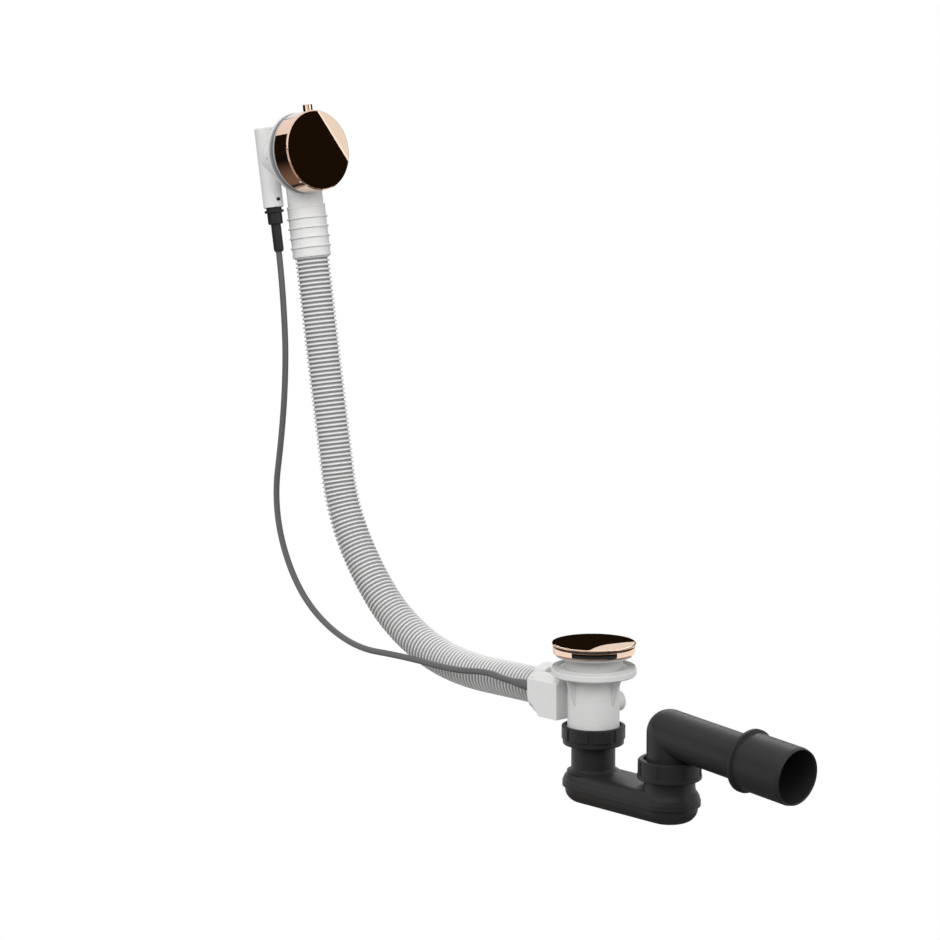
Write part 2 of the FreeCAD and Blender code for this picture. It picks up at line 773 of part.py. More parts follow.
def stations(wire, count):
    """Points and directions at even steps along a wire, both ends included."""
    lengths = [e.Length for e in wire.Edges]
    total = sum(lengths)
    found = []
    for k in range(count + 1):
        want = total * k / count
        index = 0
        while index < len(lengths) - 1 and want > lengths[index]:
            want -= lengths[index]
            index += 1
        edge = wire.Edges[index]
        spot = edge.getParameterByLength(min(want, lengths[index]))
        found.append((edge.valueAt(spot), edge.tangentAt(spot)))
    return found


def circle_at(place, r):
    spot, direction = place
    return Part.Wire([Part.makeCircle(r, spot, direction)])


# Hose: ridges and grooves in turn, drawn at twice the real pitch to stay light
waves = int(round(hose_wire.Length / hose_pitch))
spots = stations(hose_wire, 2 * waves)
shells = []
for k, place in enumerate(spots):
    shells.append(circle_at(place, hose_ridge_r if k % 2 == 0 else hose_root_r))
hose = Part.makeLoft(shells, True, True)
bore_spots = stations(hose_wire, max(24, waves // 2))
hose_bore = Part.makeLoft([circle_at(place, hose_bore_r) for place in bore_spots], True, True)
hose = hose.cut(hose_bore)
keep("hose", hose)

# Hose tail, washer and union nut at the drain
tail_back = tail_face + tail_flange_t
washer_back = tail_back + hose_washer_t
tail_r = hose_bore_r - seat
port_in = port_r - 0.7
tail = spin([(tail_r - 2, -tail_len), (tail_r, -tail_len), (tail_r, 0), (port_in, 0), (port_in, tail_flange_t),
             (tail_r - 2, tail_flange_t)])
keep("hose_tail", laid_x(tail, tail_face, stub_y, port_axis_z))
washer = ring(port_in, port_bore_r, 0, hose_washer_t)
keep("hose_washer", laid_x(washer, tail_back, stub_y, port_axis_z))

wave_points = []
steps = union_lobes * 8
for k in range(steps):
    angle = 2 * math.pi * k / steps
    lobe = 0.5 + 0.5 * math.cos(union_lobes * angle)
    r = union_root_r + (union_crest_r - union_root_r) * (1 - (1 - lobe) ** 3)
    wave_points.append(V(r * math.cos(angle), r * math.sin(angle), 0))
union = Part.Face(Part.makePolygon(wave_points + wave_points[:1])).extrude(V(0, 0, union_len))
union = union.cut(rod(hose_ridge_r + play, -1, union_len + 1))
union = union.cut(rod(port_r + seat, union_lip, union_len + 1))
edge_ring = spin([(union_crest_r - 1.6, 0), (union_crest_r + 1, 0), (union_crest_r + 1, 2.6)])
union = union.cut(edge_ring)
union_face = tail_face - union_lip
keep("union_nut", laid_x(union, union_face, stub_y, port_axis_z))

# Drain body: flange, tube, lever chamber, hose port, side boss and three gussets
tube_in = tube_r - tube_wall
flange_low = flange_top - flange_t
drain = spin([(0, tube_end), (thread_r, tube_end), (thread_r, thread_top - 1), (tube_r, thread_top),
              (tube_r, flange_low - 2), (tube_r + 2, flange_low), (flange_r - 1, flange_low),
              (flange_r, flange_low + 1), (flange_r, flange_top - 0.5), (flange_r - 0.5, flange_top),
              (0, flange_top)])
drain_box = block(chamber_x, -10, chamber_y0, chamber_y1, chamber_bottom, chamber_top)
upright = [e for e in drain_box.Edges if e.BoundBox.XLength < 1e-6 and e.BoundBox.YLength < 1e-6]
upright = [e for e in upright if e.BoundBox.YMax > 0 and e.BoundBox.XMax < chamber_x + 1]
drain_box = drain_box.makeFillet(4.0, upright)
union_back = union_face + union_len
mount_plate = block(union_back + 0.6, -tube_r + 1, chamber_y0, chamber_y0 + chamber_wall,
                    chamber_bottom, box_top)
plate_notch = rod_x(union_crest_r + play, union_back - 5, union_back + 0.2, stub_y, port_axis_z)
port_neck_r = min(port_r - 1.8, stub_y - chamber_y0)
port_body = rod_x(port_r, washer_back, union_back - 0.5, stub_y, port_axis_z)
port_neck = rod_x(port_neck_r, washer_back, chamber_x + 3, stub_y, port_axis_z)
side_boss = rod_y(side_boss_r, 0, side_boss_y, 0, side_boss_z)
shaft_boss = rod_y(shaft_r + 2.3, chamber_y0 - 4, chamber_y0 + 1, shaft_x, shaft_z)
far_boss = rod_y(shaft_r + 2.5, chamber_y1 - 1, chamber_y1 + 3, shaft_x, shaft_z)
gussets = []
for turn in (0, 90, 180):
    corners = [V(0, -gusset_out, flange_low + 0.5), V(0, -tube_in - 1, flange_low + 0.5),
               V(0, -tube_in - 1, gusset_foot), V(0, -tube_r - 0.6, gusset_foot)]
    rib = Part.Face(Part.makePolygon(corners + corners[:1])).extrude(V(gusset_t, 0, 0))
    rib.translate(V(-gusset_t / 2, 0, 0))
    gussets.append(around_z(rib, turn))
drain = join(drain, drain_box, mount_plate, port_body, port_neck, side_boss, shaft_boss, far_boss, *gussets)
drain = drain.cut(rod(tube_in, tube_end - 1, flange_top + 1))
chamber_in = block(chamber_x + chamber_wall, -12, chamber_y0 + chamber_wall, chamber_y1 - chamber_wall,
                   chamber_bottom + chamber_floor_t, chamber_top - chamber_wall)
drain = drain.cut(chamber_in)
drain = drain.cut(rod_x(port_bore_r, washer_back - 1, chamber_x + 5, stub_y, port_axis_z))
drain = drain.cut(rod_y(side_bore_r, tube_in - 4, side_boss_y + 1, 0, side_boss_z))
shaft_hole_r = shaft_r + running
drain = drain.cut(rod_y(shaft_hole_r, chamber_y0 - 5, chamber_y1 + 1.3, shaft_x, shaft_z))
ring_bore = shaft_hole_r + 2 * 0.8 + 0.05
ring_from = chamber_y0 + chamber_wall - 1.8
drain = drain.cut(rod_y(ring_bore, ring_from, chamber_y0 + chamber_wall + 1, shaft_x, shaft_z))
box_posts = ((box_x0 + 4.5, box_top - 4.0), (box_x1 - 3.5, box_top - 3.6), (box_x0 + 15.0, chamber_bottom + 4.8))
for x, z in box_posts:
    drain = drain.cut(rod_y(1.4 + seat, chamber_y0 - 1, chamber_y0 + 1.5, x, z))
keep("waste_body", drain)

side_plug = join(rod_y(side_bore_r - seat, side_boss_y - 7.5, side_boss_y, 0, side_boss_z),
                 rod_y(side_boss_r, side_boss_y, side_boss_y + side_cap_t, 0, side_boss_z))
far_edge = [e for e in side_plug.Edges if e.BoundBox.YMin > side_boss_y + side_cap_t - 0.01]
side_plug = side_plug.makeFillet(1.4, far_edge)
keep("side_plug", side_plug)

# Flange seal with fine ribs, the trim ring above the bath's floor and its seal
rib_step = 1.4
seal_outline = [(neck_r + seat, flange_top), (flange_seal_r, flange_top), (flange_seal_r, -seal_rib_h)]
for k in range(seal_ribs):
    crest = flange_seal_r - 0.5 - k * rib_step
    seal_outline += [(crest + 0.3, -seal_rib_h), (crest + 0.15, 0), (crest - 0.15, 0), (crest - 0.3, -seal_rib_h)]
seal_outline += [(neck_r + seat, -seal_rib_h)]
keep("flange_seal", spin(seal_outline))

trim_low = bath_gap + trim_seal_t
trim_top = trim_low + trim_t
ledge_z = trim_top - ledge_drop
spigot_top = trim_low + 0.46 * (ledge_z - trim_low)
spigot_out_r = neck_r - 1.0
funnel_r = ledge_in_r - 1.0
trim_outline = [(spigot_out_r + seat, trim_low), (trim_foot_r, trim_low)]
bulge = trim_r - (trim_foot_r + trim_top_r) / 2
for k in range(1, 8):
    share = k / 8.0
    edge_r = trim_foot_r + (trim_top_r - trim_foot_r) * share
    trim_outline.append((edge_r + bulge * math.sin(math.pi * share ** 0.75), trim_low + trim_t * share))
trim_outline += [(trim_top_r, trim_top), (ledge_out_r + 2, trim_top), (ledge_out_r + 0.5, ledge_z),
                 (ledge_in_r, ledge_z), (funnel_r, spigot_top), (spigot_out_r + seat, spigot_top)]
keep("trim_flange", spin(trim_outline))

# Plastic neck pushed into the trim ring: it screws into the drain's tube and carries the plug's guide
trim_thread_r = tube_in - seat
trim_neck = spin([(trim_bore_r, -trim_tail), (trim_thread_r, -trim_tail), (trim_thread_r, flange_top),
                  (neck_r, flange_top), (neck_r, trim_low), (spigot_out_r, trim_low), (spigot_out_r, spigot_top),
                  (funnel_r, spigot_top), (trim_bore_r, ledge_z - 8)])
guide_top = flange_top - 2.2
guide_low = guide_top - guide_len
guide = [rod(guide_r, guide_low, guide_top)]
for k in range(3):
    spoke = block(0, trim_bore_r + 1, -1.5, 1.5, guide_low + 2, guide_top)
    guide.append(around_z(spoke, 60 + 120 * k))
trim_neck = join(trim_neck, *guide).cut(rod(stem_r + running, guide_low - 1, guide_top + 1))
keep("trim_neck", trim_neck)
keep("trim_seal", ring(trim_seal_r, neck_r + seat, bath_gap, trim_low))

# Plug: lid, its seal, stem, lock nut and foot. It rests on the ledge when the bath is closed.
lid_low = trim_top + play
lid_top = lid_low + lid_t
dome_r = lid_r - 0.9
lid_outline = [(0, lid_low), (lid_r - 4.5, lid_low), (lid_r - 1.2, lid_top - 1.8), (lid_r - 0.2, lid_top - 1.1),
               (lid_r, lid_top - 0.8), (lid_r - 0.25, lid_top - 0.25), (dome_r, lid_top)]
for k in range(1, 6):
    r = dome_r * (1 - k / 6.0)
    lid_outline.append((r, lid_top + lid_dome * (1 - (r / dome_r) ** 2)))
lid_outline.append((0, lid_top + lid_dome))
lid = spin(lid_outline)
lid_boss_low = lid_low - 5.0
lid = join(lid, rod(guide_r, lid_boss_low, lid_low + 0.5), ring(lid_seal_in_r - seat, lid_seal_in_r - 2,
                                                               lid_low - 1.8, lid_low + 0.5))
stem_top = lid_low
lid = lid.cut(rod(stem_r + seat, lid_boss_low - 1, stem_top))
keep("plug_lid", lid)
keep("lid_seal", ring(lid_seal_out_r, lid_seal_in_r, ledge_z + running, lid_low))

half_turn = math.asin(travel / 2 / cable_arm_l)
nose_z = shaft_z - lift_arm_l * math.sin(half_turn)
foot_low = nose_z + nose_r + play
foot_top = foot_low + foot_t
keep("plug_stem", rod(stem_r, foot_top, stem_top))
nut_outline = []
for k in range(6):
    angle = math.pi / 3 * k
    nut_outline.append(V(8.0 * math.cos(angle), 8.0 * math.sin(angle), lid_boss_low - lock_nut_t))
lock_nut = Part.Face(Part.makePolygon(nut_outline + nut_outline[:1])).extrude(V(0, 0, lock_nut_t))
keep("lock_nut", lock_nut.cut(rod(stem_r + seat, lid_boss_low - 10, lid_boss_low + 1)))
foot = spin([(0, foot_low), (foot_r - 0.5, foot_low), (foot_r, foot_low + 0.5), (foot_r, foot_top),
             (stem_r + 1.6, foot_top), (stem_r + 1.6, foot_top + 5), (stem_r + seat, foot_top + 5),
             (stem_r + seat, foot_top), (0, foot_top)])
keep("stem_foot", foot)

# Lever box on the side of the drain body
corners = [V(box_x0, 0, chamber_bottom + box_cut_z), V(box_x0 + box_cut_x, 0, chamber_bottom),
           V(box_x1, 0, chamber_bottom), V(box_x1, 0, box_top), V(box_x0, 0, box_top)]


def box_solid(points, y0, y1):
    face = Part.Face(Part.makePolygon(points + points[:1]))
    solid = face.extrude(V(0, y1 - y0, 0))
    solid.translate(V(0, y0, 0))
    return solid


def slope_cut(y, z):
    """Wedge off the top front edge."""
    points = [V(box_x0 - 5, y, z - box_slope_z), V(box_x0 - 5, y - 5, z - box_slope_z),
              V(box_x0 - 5, y - 5, z + 5), V(box_x0 - 5, y + box_slope_y, z + 5),
              V(box_x0 - 5, y + box_slope_y, z)]
    return Part.Face(Part.makePolygon(points + points[:1])).extrude(V(box_x1 - box_x0 + 10, 0, 0))


slant = math.hypot(box_cut_x, box_cut_z)
shift_x = box_wall * (slant - box_cut_x) / box_cut_z
shift_z = box_wall * (slant - box_cut_z) / box_cut_x
inside = [V(box_x0 + box_wall, 0, chamber_bottom + box_cut_z + shift_z),
          V(box_x0 + box_cut_x + shift_x, 0, chamber_bottom + box_wall),
          V(box_x1 - box_wall, 0, chamber_bottom + box_wall),
          V(box_x1 - box_wall, 0, box_top - box_wall), V(box_x0 + box_wall, 0, box_top - box_wall)]
box = box_solid(corners, box_front, chamber_y0).cut(slope_cut(box_front, box_top))
hollow = box_solid(inside, box_front + box_wall, chamber_y0 + 1)
hollow = hollow.cut(slope_cut(box_front + box_wall, box_top - box_wall))
box = box.cut(hollow)
posts = []
for x, z in box_posts:
    post = join(rod_y(2.3, box_front + 1, chamber_y0, x, z), rod_y(1.4, chamber_y0 - 1, chamber_y0 + 1.4, x, z))
    posts.append(post)
box = join(box, *posts).cut(plate_notch)
ferrule_stub_r = 3.2
box = box.cut(rod_x(ferrule_stub_r + seat, box_x0 - 1, box_x0 + box_wall + 1, cable_in_y, cable_in_z))
keep("lever_box", box)

# Lever: shaft through the drain's wall, the cable's arm outside and the lift arm inside
arm_y0 = -13.4
arm_y1 = -10.4
lift_y1 = 3.7
shaft = rod_y(shaft_r, arm_y0, chamber_y1 + 1.3 - play, shaft_x, shaft_z)
shaft_flat = 0.6


def shaft_flats(y0, y1, extra):
    """What the flat on the shaft takes away between two y values."""
    cut = shaft_r - shaft_flat + extra
    return block(shaft_x + cut, shaft_x + 2 * shaft_r, y0, y1, shaft_z - 5, shaft_z + 5)


def shaft_socket(y0, y1):
    hole = rod_y(shaft_r + seat / 2, y0 - 1, y1 + 1, shaft_x, shaft_z)
    return hole.cut(shaft_flats(y0 - 2, y1 + 2, seat / 2))


lift_y0 = chamber_y0 + chamber_wall + play
shaft = shaft.cut(shaft_flats(arm_y0 - 1, arm_y1, 0)).cut(shaft_flats(lift_y0, lift_y1, 0))
rest_turn = math.degrees(half_turn)


def rest_tilt(shape):
    """Swing the lever from its middle position to where it rests with the plug closed."""
    swung = shape.copy()
    swung.rotate(V(shaft_x, 0, shaft_z), V(0, 1, 0), rest_turn)
    return swung


keep("lever_shaft", rest_tilt(shaft))
shaft_ring = Part.makeTorus(shaft_hole_r + 0.8, 0.8, V(shaft_x, ring_from + 0.8, shaft_z), V(0, 1, 0))
keep("shaft_oring", shaft_ring)

pin_z = shaft_z + cable_arm_l
arm = join(rod_y(4.6, arm_y0, arm_y1, shaft_x, shaft_z),
           block(shaft_x - 2.4, shaft_x + 2.4, arm_y0, arm_y1, shaft_z, pin_z),
           rod_y(2.4, arm_y0, arm_y1, shaft_x, pin_z),
           rod_y(arm_pin_r, cable_in_y - rod_plate_t / 2 - 0.9, arm_y0 + 1, shaft_x, pin_z))
arm = arm.cut(shaft_socket(arm_y0, arm_y1))
keep("cable_arm", rest_tilt(arm))

lift_x = shaft_x + lift_arm_l
lift = join(rod_y(5.0, lift_y0, lift_y1, shaft_x, shaft_z),
            block(shaft_x, lift_x, -2.5, 2.5, shaft_z - lift_below, shaft_z + lift_above),
            rod_y(nose_r, -2.5, 2.5, lift_x, shaft_z))
lift = lift.cut(shaft_socket(lift_y0, lift_y1))
keep("lift_arm", rest_tilt(lift))

# Pull rod: a slotted plate round the arm's pin, a rod through the box's wall and the wire behind it
pin_rest_x = shaft_x + travel / 2
pin_low_z = shaft_z + cable_arm_l * math.cos(half_turn)
slot_z = (pin_low_z + pin_z) / 2
slot_h = arm_pin_r + (pin_z - pin_low_z) / 2 + play
slot_w = arm_pin_r + play
plate_y0 = cable_in_y - rod_plate_t / 2
plate_y1 = cable_in_y + rod_plate_t / 2
rod_end = box_x0 + box_wall + 5
pull = join(block(pin_rest_x - slot_w - 2.2, pin_rest_x + slot_w + 1.3, plate_y0, plate_y1, slot_z - slot_h - 2,
                  slot_z + slot_h + 2),
            rod_x(rod_r, rod_end, pin_rest_x - slot_w - 1, cable_in_y, cable_in_z),
            rod_x(wire_r, rod_wire_end, rod_end + 1, cable_in_y, cable_in_z))
pull = pull.cut(block(pin_rest_x - slot_w, pin_rest_x + slot_w, plate_y0 - 1, plate_y1 + 1, slot_z - slot_h,
                      slot_z + slot_h))
keep("pull_rod", pull)

# Ferrule that ends the cable's jacket at the box
ferrule = spin([(cable_r + seat, -ferrule_len), (ferrule_tip_r, -ferrule_len), (ferrule_r, -ferrule_len + 13),
                (ferrule_r, 0), (ferrule_stub_r, 0), (ferrule_stub_r, box_wall), (rod_r + play, box_wall),
                (rod_r + play, jacket_end_x - box_x0), (cable_r + seat, jacket_end_x - box_x0)])
keep("ferrule", laid_x(ferrule, box_x0, cable_in_y, cable_in_z))


# Trap inlet nut with eight grip pads
def pads(outer, inner, low, high, count, width, turn=0.0):
    band = ring(outer, inner, low, high)
    found = []
    for k in range(count):
        slab = block(inner - 3, outer + 2, -width / 2, width / 2, low - 1, high + 1)
        found.append(band.common(around_z(slab, turn + 360.0 * k / count)))
    return found


nut_bore = thread_r + seat
collar_low = tube_end - cone_washer_t - inlet_collar_t
nut_1 = spin([(nut_bore, nut_1_top), (nut_1_r - nut_chamfer / 2, nut_1_top), (nut_1_r, nut_1_top - nut_chamfer),
              (nut_1_r, nut_1_end + nut_chamfer), (nut_1_r - nut_chamfer, nut_1_end), (inlet_r + seat, nut_1_end),
              (inlet_r + seat, collar_low), (nut_bore, collar_low)])
nut_1 = join(nut_1, *pads(nut_1_pad_r, nut_1_r - 0.7, nut_1_pad_end, nut_1_top - 0.8, 8, nut_1_pad_w,
                          nut_1_pad_turn))
keep("nut_1", nut_1)
inlet_in = inlet_r - pipe_wall
keep("cone_washer", ring(thread_r - 0.8, inlet_in, tube_end - cone_washer_t, tube_end))

# Trap: upper shell with its inlet pipe and outlet socket, lower shell below the seam
upper = rounded_rim(obround(trap_r, trap_seam, trap_top), trap_shoulder, trap_top)
upper = upper.fuse(obround(trap_band_r, trap_seam, trap_seam + trap_band_h))
inlet_top = tube_end - cone_washer_t
inlet = spin([(0, trap_top - 1), (inlet_r + 3.7, trap_top - 1), (inlet_r + 3.7, trap_top),
              (inlet_r + 1.1, trap_top + 1.1), (inlet_r, trap_top + 3.7), (inlet_r, collar_low),
              (thread_r - 0.4, collar_low), (thread_r - 0.4, inlet_top), (0, inlet_top)])
hood = rounded_rim(obround(trap_r, trap_seam, socket_foot + 0.1), trap_shoulder + 2.6, socket_foot + 0.1)
flare = spin([(0, trap_top - 6), (socket_r + 10, trap_top - 6), (socket_r + 7.8, trap_top - 0.1),
              (socket_r + 2.6, trap_top + 1.0), (socket_r, socket_foot), (0, socket_foot)])
flare.translate(V(leg_pitch, 0, 0))
flare = flare.common(hood)
bell = spin([(0, trap_seam + 1), (trap_r, trap_seam + 1), (trap_r, socket_foot - 11.5),
             (socket_r + 3.0, socket_foot - 8.4), (socket_r + 0.9, socket_foot - 4), (socket_r, socket_foot),
             (0, socket_foot)])
bell.translate(V(leg_pitch, 0, 0))
socket = spin([(0, socket_foot - 1), (socket_r, socket_foot - 1), (socket_r, nut_2_end - 0.5),
               (socket_thread_r, nut_2_end), (socket_thread_r, socket_thread_top), (0, socket_thread_top)])
socket.translate(V(leg_pitch, 0, 0))
upper = join(upper, inlet, flare, bell, socket)
upper_in = rounded_rim(obround(trap_r - trap_wall, trap_seam - 1, trap_top - trap_wall),
                       trap_shoulder - trap_wall, trap_top - trap_wall)
upper = upper.cut(upper_in).cut(rod(inlet_in, trap_top - 10, inlet_top + 1))
upper = upper.cut(rod(riser_r - outlet_wall, trap_top - 10, socket_thread_top + 1, leg_pitch))
upper = upper.cut(rod(riser_r + seat, riser_foot, socket_thread_top + 1, leg_pitch))
keep("trap_upper", upper)

lower = rounded_rim(obround(trap_low_r, trap_bottom, trap_seam), trap_corner, trap_bottom)
lower = join(lower, obround(trap_band_r, trap_seam - trap_low_band_h, trap_seam))
lower_in = rounded_rim(obround(trap_low_r - trap_wall, trap_bottom + trap_wall, trap_seam + 1),
                       trap_corner - trap_wall, trap_bottom + trap_wall)
lower = lower.cut(lower_in)
keep("trap_lower", lower)

# Socket nut, washer, elbow with its long outlet leg, and the wider end piece
socket_bore = socket_thread_r + seat
washer_top = socket_thread_top + riser_washer_t
nut_2 = spin([(socket_bore, nut_2_end), (nut_2_band_r - 0.5, nut_2_end), (nut_2_band_r, nut_2_end + 0.6),
              (nut_2_band_r, nut_2_band - 0.4), (nut_2_r, nut_2_band), (nut_2_r, nut_2_top - nut_chamfer),
              (nut_2_r - nut_chamfer, nut_2_top), (nut_2_hole_r, nut_2_top), (nut_2_hole_r, washer_top),
              (socket_bore, washer_top)])
nut_2 = join(nut_2, *pads(nut_2_r + 0.8, nut_2_r - 0.6, nut_2_band - 0.5, nut_2_top - 1.5, 8, nut_2_pad_w,
                          nut_2_pad_turn))
nut_2.translate(V(leg_pitch, 0, 0))
keep("nut_2", nut_2)
riser_washer = ring(socket_thread_r, riser_r + seat / 2, socket_thread_top, washer_top)
riser_washer.translate(V(leg_pitch, 0, 0))
keep("riser_washer", riser_washer)

fall = math.radians(outlet_fall)
elbow_centre = V(leg_pitch, 0, elbow_z)
outlet_way = V(math.cos(fall), 0, -math.sin(fall))
pipe_len = outlet_len - wide_len + pipe_overlap


def elbow_shape(r, foot, reach):
    leg = rod(r, foot, elbow_z, leg_pitch)
    pipe = Part.makeCylinder(r, reach, elbow_centre, outlet_way)
    return join(leg, pipe, Part.makeSphere(r, elbow_centre))


elbow = elbow_shape(riser_r, riser_foot, pipe_len)
elbow = elbow.cut(elbow_shape(riser_r - outlet_wall, riser_foot - 1, pipe_len + 1))
keep("outlet_elbow", elbow)

mouth = elbow_centre + outlet_way * outlet_len
collar_s0 = wide_len - wide_collar_t
stop = wide_len - pipe_overlap
groove = collar_s0 - 6
wide_in = wide_r - 2.2
pipe_bore = riser_r + seat
adapter = spin([(mouth_r - 0.5, 0), (mouth_r, 0), (wide_r, mouth_len), (wide_r, collar_s0 - 0.8),
                (wide_collar_r, collar_s0), (wide_collar_r, wide_len), (pipe_bore, wide_len),
                (pipe_bore, groove + 5), (wide_in, groove + 5), (wide_in, groove), (pipe_bore, groove),
                (pipe_bore, stop), (riser_r - outlet_wall, stop), (riser_r - outlet_wall, stop - 2),
                (wide_in, stop - 7), (wide_in, 1)])
adapter_seal = ring(wide_in - seat, riser_r + seat / 2, groove, groove + 5)


def on_outlet(shape):
    placed = shape.copy()
    placed.Placement = FreeCAD.Placement(mouth, FreeCAD.Rotation(V(0, 1, 0), outlet_fall - 90))
    return placed


keep("outlet_adapter", on_outlet(adapter))
keep("adapter_seal", on_outlet(adapter_seal))

print("knob turns", knob_turn, "rack travel", round(travel, 3), "lever turns", round(2 * rest_turn, 3),
      "plug lift", round(2 * lift_arm_l * math.sin(half_turn), 3))
print("knob centre", knob_centre, "wall out", wall_out, "wall down", wall_down)
print("mouth", mouth, "outlet way", outlet_way, "elbow", elbow_centre)
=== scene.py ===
# %% [markdown]
# A bath waste and overflow in three materials: rose gold metal where the bather sees it, white and grey
# plastic behind the bath, black plastic for the trap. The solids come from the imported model, so every piece
# is already in its place. This lesson gives the pieces their finish, and makes again in fine mesh the ones
# that a plain solid can't show: the ribbed hose, the cable, the ribbed seal and the polished metal.

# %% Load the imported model
import bmesh
import bpy
import json
import math
from mathutils import Matrix, Vector


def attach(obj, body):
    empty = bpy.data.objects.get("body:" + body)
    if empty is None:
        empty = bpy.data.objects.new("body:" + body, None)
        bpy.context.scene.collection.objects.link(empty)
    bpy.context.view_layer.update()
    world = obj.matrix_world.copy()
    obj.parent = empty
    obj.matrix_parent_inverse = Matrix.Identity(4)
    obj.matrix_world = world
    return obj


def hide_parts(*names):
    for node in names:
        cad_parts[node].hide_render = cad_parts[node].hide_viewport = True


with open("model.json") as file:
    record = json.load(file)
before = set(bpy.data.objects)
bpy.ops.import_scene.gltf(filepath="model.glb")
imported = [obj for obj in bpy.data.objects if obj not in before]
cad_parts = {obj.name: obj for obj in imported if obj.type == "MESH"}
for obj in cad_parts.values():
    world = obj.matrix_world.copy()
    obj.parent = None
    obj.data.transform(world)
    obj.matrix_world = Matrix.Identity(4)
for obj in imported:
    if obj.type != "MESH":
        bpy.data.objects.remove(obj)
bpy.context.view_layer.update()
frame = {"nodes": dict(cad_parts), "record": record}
print("solids loaded:", len(frame["nodes"]))

# %% [markdown]
# The photograph was taken with a long lens from the right and a little above, which is why the round knob
# and lid look like clean ellipses. The camera's own axes are built from one turn and one tip, and written
# straight into its matrix.

# %% The camera
turned = math.radians(47.304)
tipped = math.radians(9.02)
to_right = Vector((math.cos(turned), math.sin(turned), 0))
to_back = Vector((math.sin(turned) * math.cos(tipped), -math.cos(turned) * math.cos(tipped), math.sin(tipped)))
to_top = to_back.cross(to_right)
camera_spot = Vector((1.9937, -1.9862, 0.6190))
camera_data = bpy.data.cameras.new("photo_camera")
camera_data.sensor_width = 36.0
camera_data.lens = 126.38
camera_data.clip_end = 60
camera = bpy.data.objects.new("photo_camera", camera_data)
bpy.context.scene.collection.objects.link(camera)
axes = Matrix((to_right, to_top, to_back)).transposed().to_4x4()
camera.matrix_world = Matrix.Translation(camera_spot) @ axes
bpy.context.scene.camera = camera
bpy.context.scene.view_settings.view_transform = "Standard"
print("camera at", [round(v, 3) for v in camera_spot])

# %% [markdown]
# The hose and the cable come before everything else. Each one hangs freely between two fixed ends, so its
# line is a single smooth spline through the air, drawn from a dozen points that pull it along. A spline with
# no thickness can be read back as a row of points, and those carry the hose's ribs later on.


# %% The lines of hose and cable
def smooth_line(name, points):
    """A spline that is pulled towards its points, given in millimetres."""
    curve = bpy.data.curves.new(name, "CURVE")
    curve.dimensions = "3D"
    curve.resolution_u = 24
    spline = curve.splines.new("NURBS")
    spline.points.add(len(points) - 1)
    for spot, point in zip(spline.points, points):
        spot.co = (point[0] / 1000, point[1] / 1000, point[2] / 1000, 1)
    spline.order_u = 3
    spline.use_endpoint_u = True
    return curve


def read_line(curve):
    """The points of a curve with no thickness, and how far along each one lies."""
    holder = bpy.data.objects.new(curve.name + "_line", curve)
    bpy.context.scene.collection.objects.link(holder)
    bpy.context.view_layer.update()
    mesh = bpy.data.meshes.new_from_object(holder)
    points = [v.co.copy() for v in mesh.vertices]
    bpy.data.objects.remove(holder)
    bpy.data.meshes.remove(mesh)
    reach = [0.0]
    for a, b in zip(points, points[1:]):
        reach.append(reach[-1] + (b - a).length)
    return points, reach


hose_route = [(-400.7, 12.5, 374.9), (-389.0, 12.5, 309.2), (-377.2, 12.5, 238.7), (-363.7, 12.5, 164.3),
              (-350.1, 12.5, 87.7), (-301.4, 12.5, 19.4), (-251.3, 12.5, -16.1), (-189.8, 12.5, -34.6),
              (-104.0, 12.5, -33.4), (-71.5, 12.5, -33.4)]
cable_route = [(-416.8, -13.0, 371.1), (-408.8, -13.0, 325.8), (-403.4, -13.2, 276.9), (-401.0, -13.5, 231.5),
               (-406.2, -13.7, 168.6), (-422.1, -13.9, 84.9), (-384.6, -14.2, 8.2), (-311.6, -14.4, -29.9),
               (-230.8, -14.6, -26.7), (-163.4, -14.8, -28.6), (-120.3, -15.1, -22.5), (-95.5, -15.3, -26.0),
               (-70.0, -15.3, -26.0)]
hose_points, hose_reach = read_line(smooth_line("hose", hose_route))
hose_length = hose_reach[-1]
cable_curve = smooth_line("cable", cable_route)
cable_points, cable_reach = read_line(cable_curve)
print("hose", round(hose_length * 1000, 1), "mm, cable", round(cable_reach[-1] * 1000, 1), "mm")

# %% [markdown]
# The part hangs under a bath, so the floor lies well below it. Floor and world are white to the camera and
# to anything that mirrors them, and a mild grey to the light that falls on the part.


# %% Helpers for node materials
def new_material(name):
    material = bpy.data.materials.new(name)
    material.use_nodes = True
    tree = material.node_tree
    tree.nodes.clear()
    out = tree.nodes.new("ShaderNodeOutputMaterial")
    return material, tree, out


def add(tree, kind, **values):
    """A node with its named inputs and settings filled in."""
    node = tree.nodes.new(kind)
    for key, value in values.items():
        if key in node.inputs:
            node.inputs[key].default_value = value
        else:
            setattr(node, key, value)
    return node


def is_mirrored_or_seen(tree):
    """One where a ray comes straight from the camera, off a mirror or through glass, else nought."""
    path = add(tree, "ShaderNodeLightPath")
    first = add(tree, "ShaderNodeMath", operation="MAXIMUM")
    last = add(tree, "ShaderNodeMath", operation="MAXIMUM")
    tree.links.new(path.outputs["Is Camera Ray"], first.inputs[0])
    tree.links.new(path.outputs["Is Glossy Ray"], first.inputs[1])
    tree.links.new(first.outputs[0], last.inputs[0])
    tree.links.new(path.outputs["Is Transmission Ray"], last.inputs[1])
    return last.outputs[0]


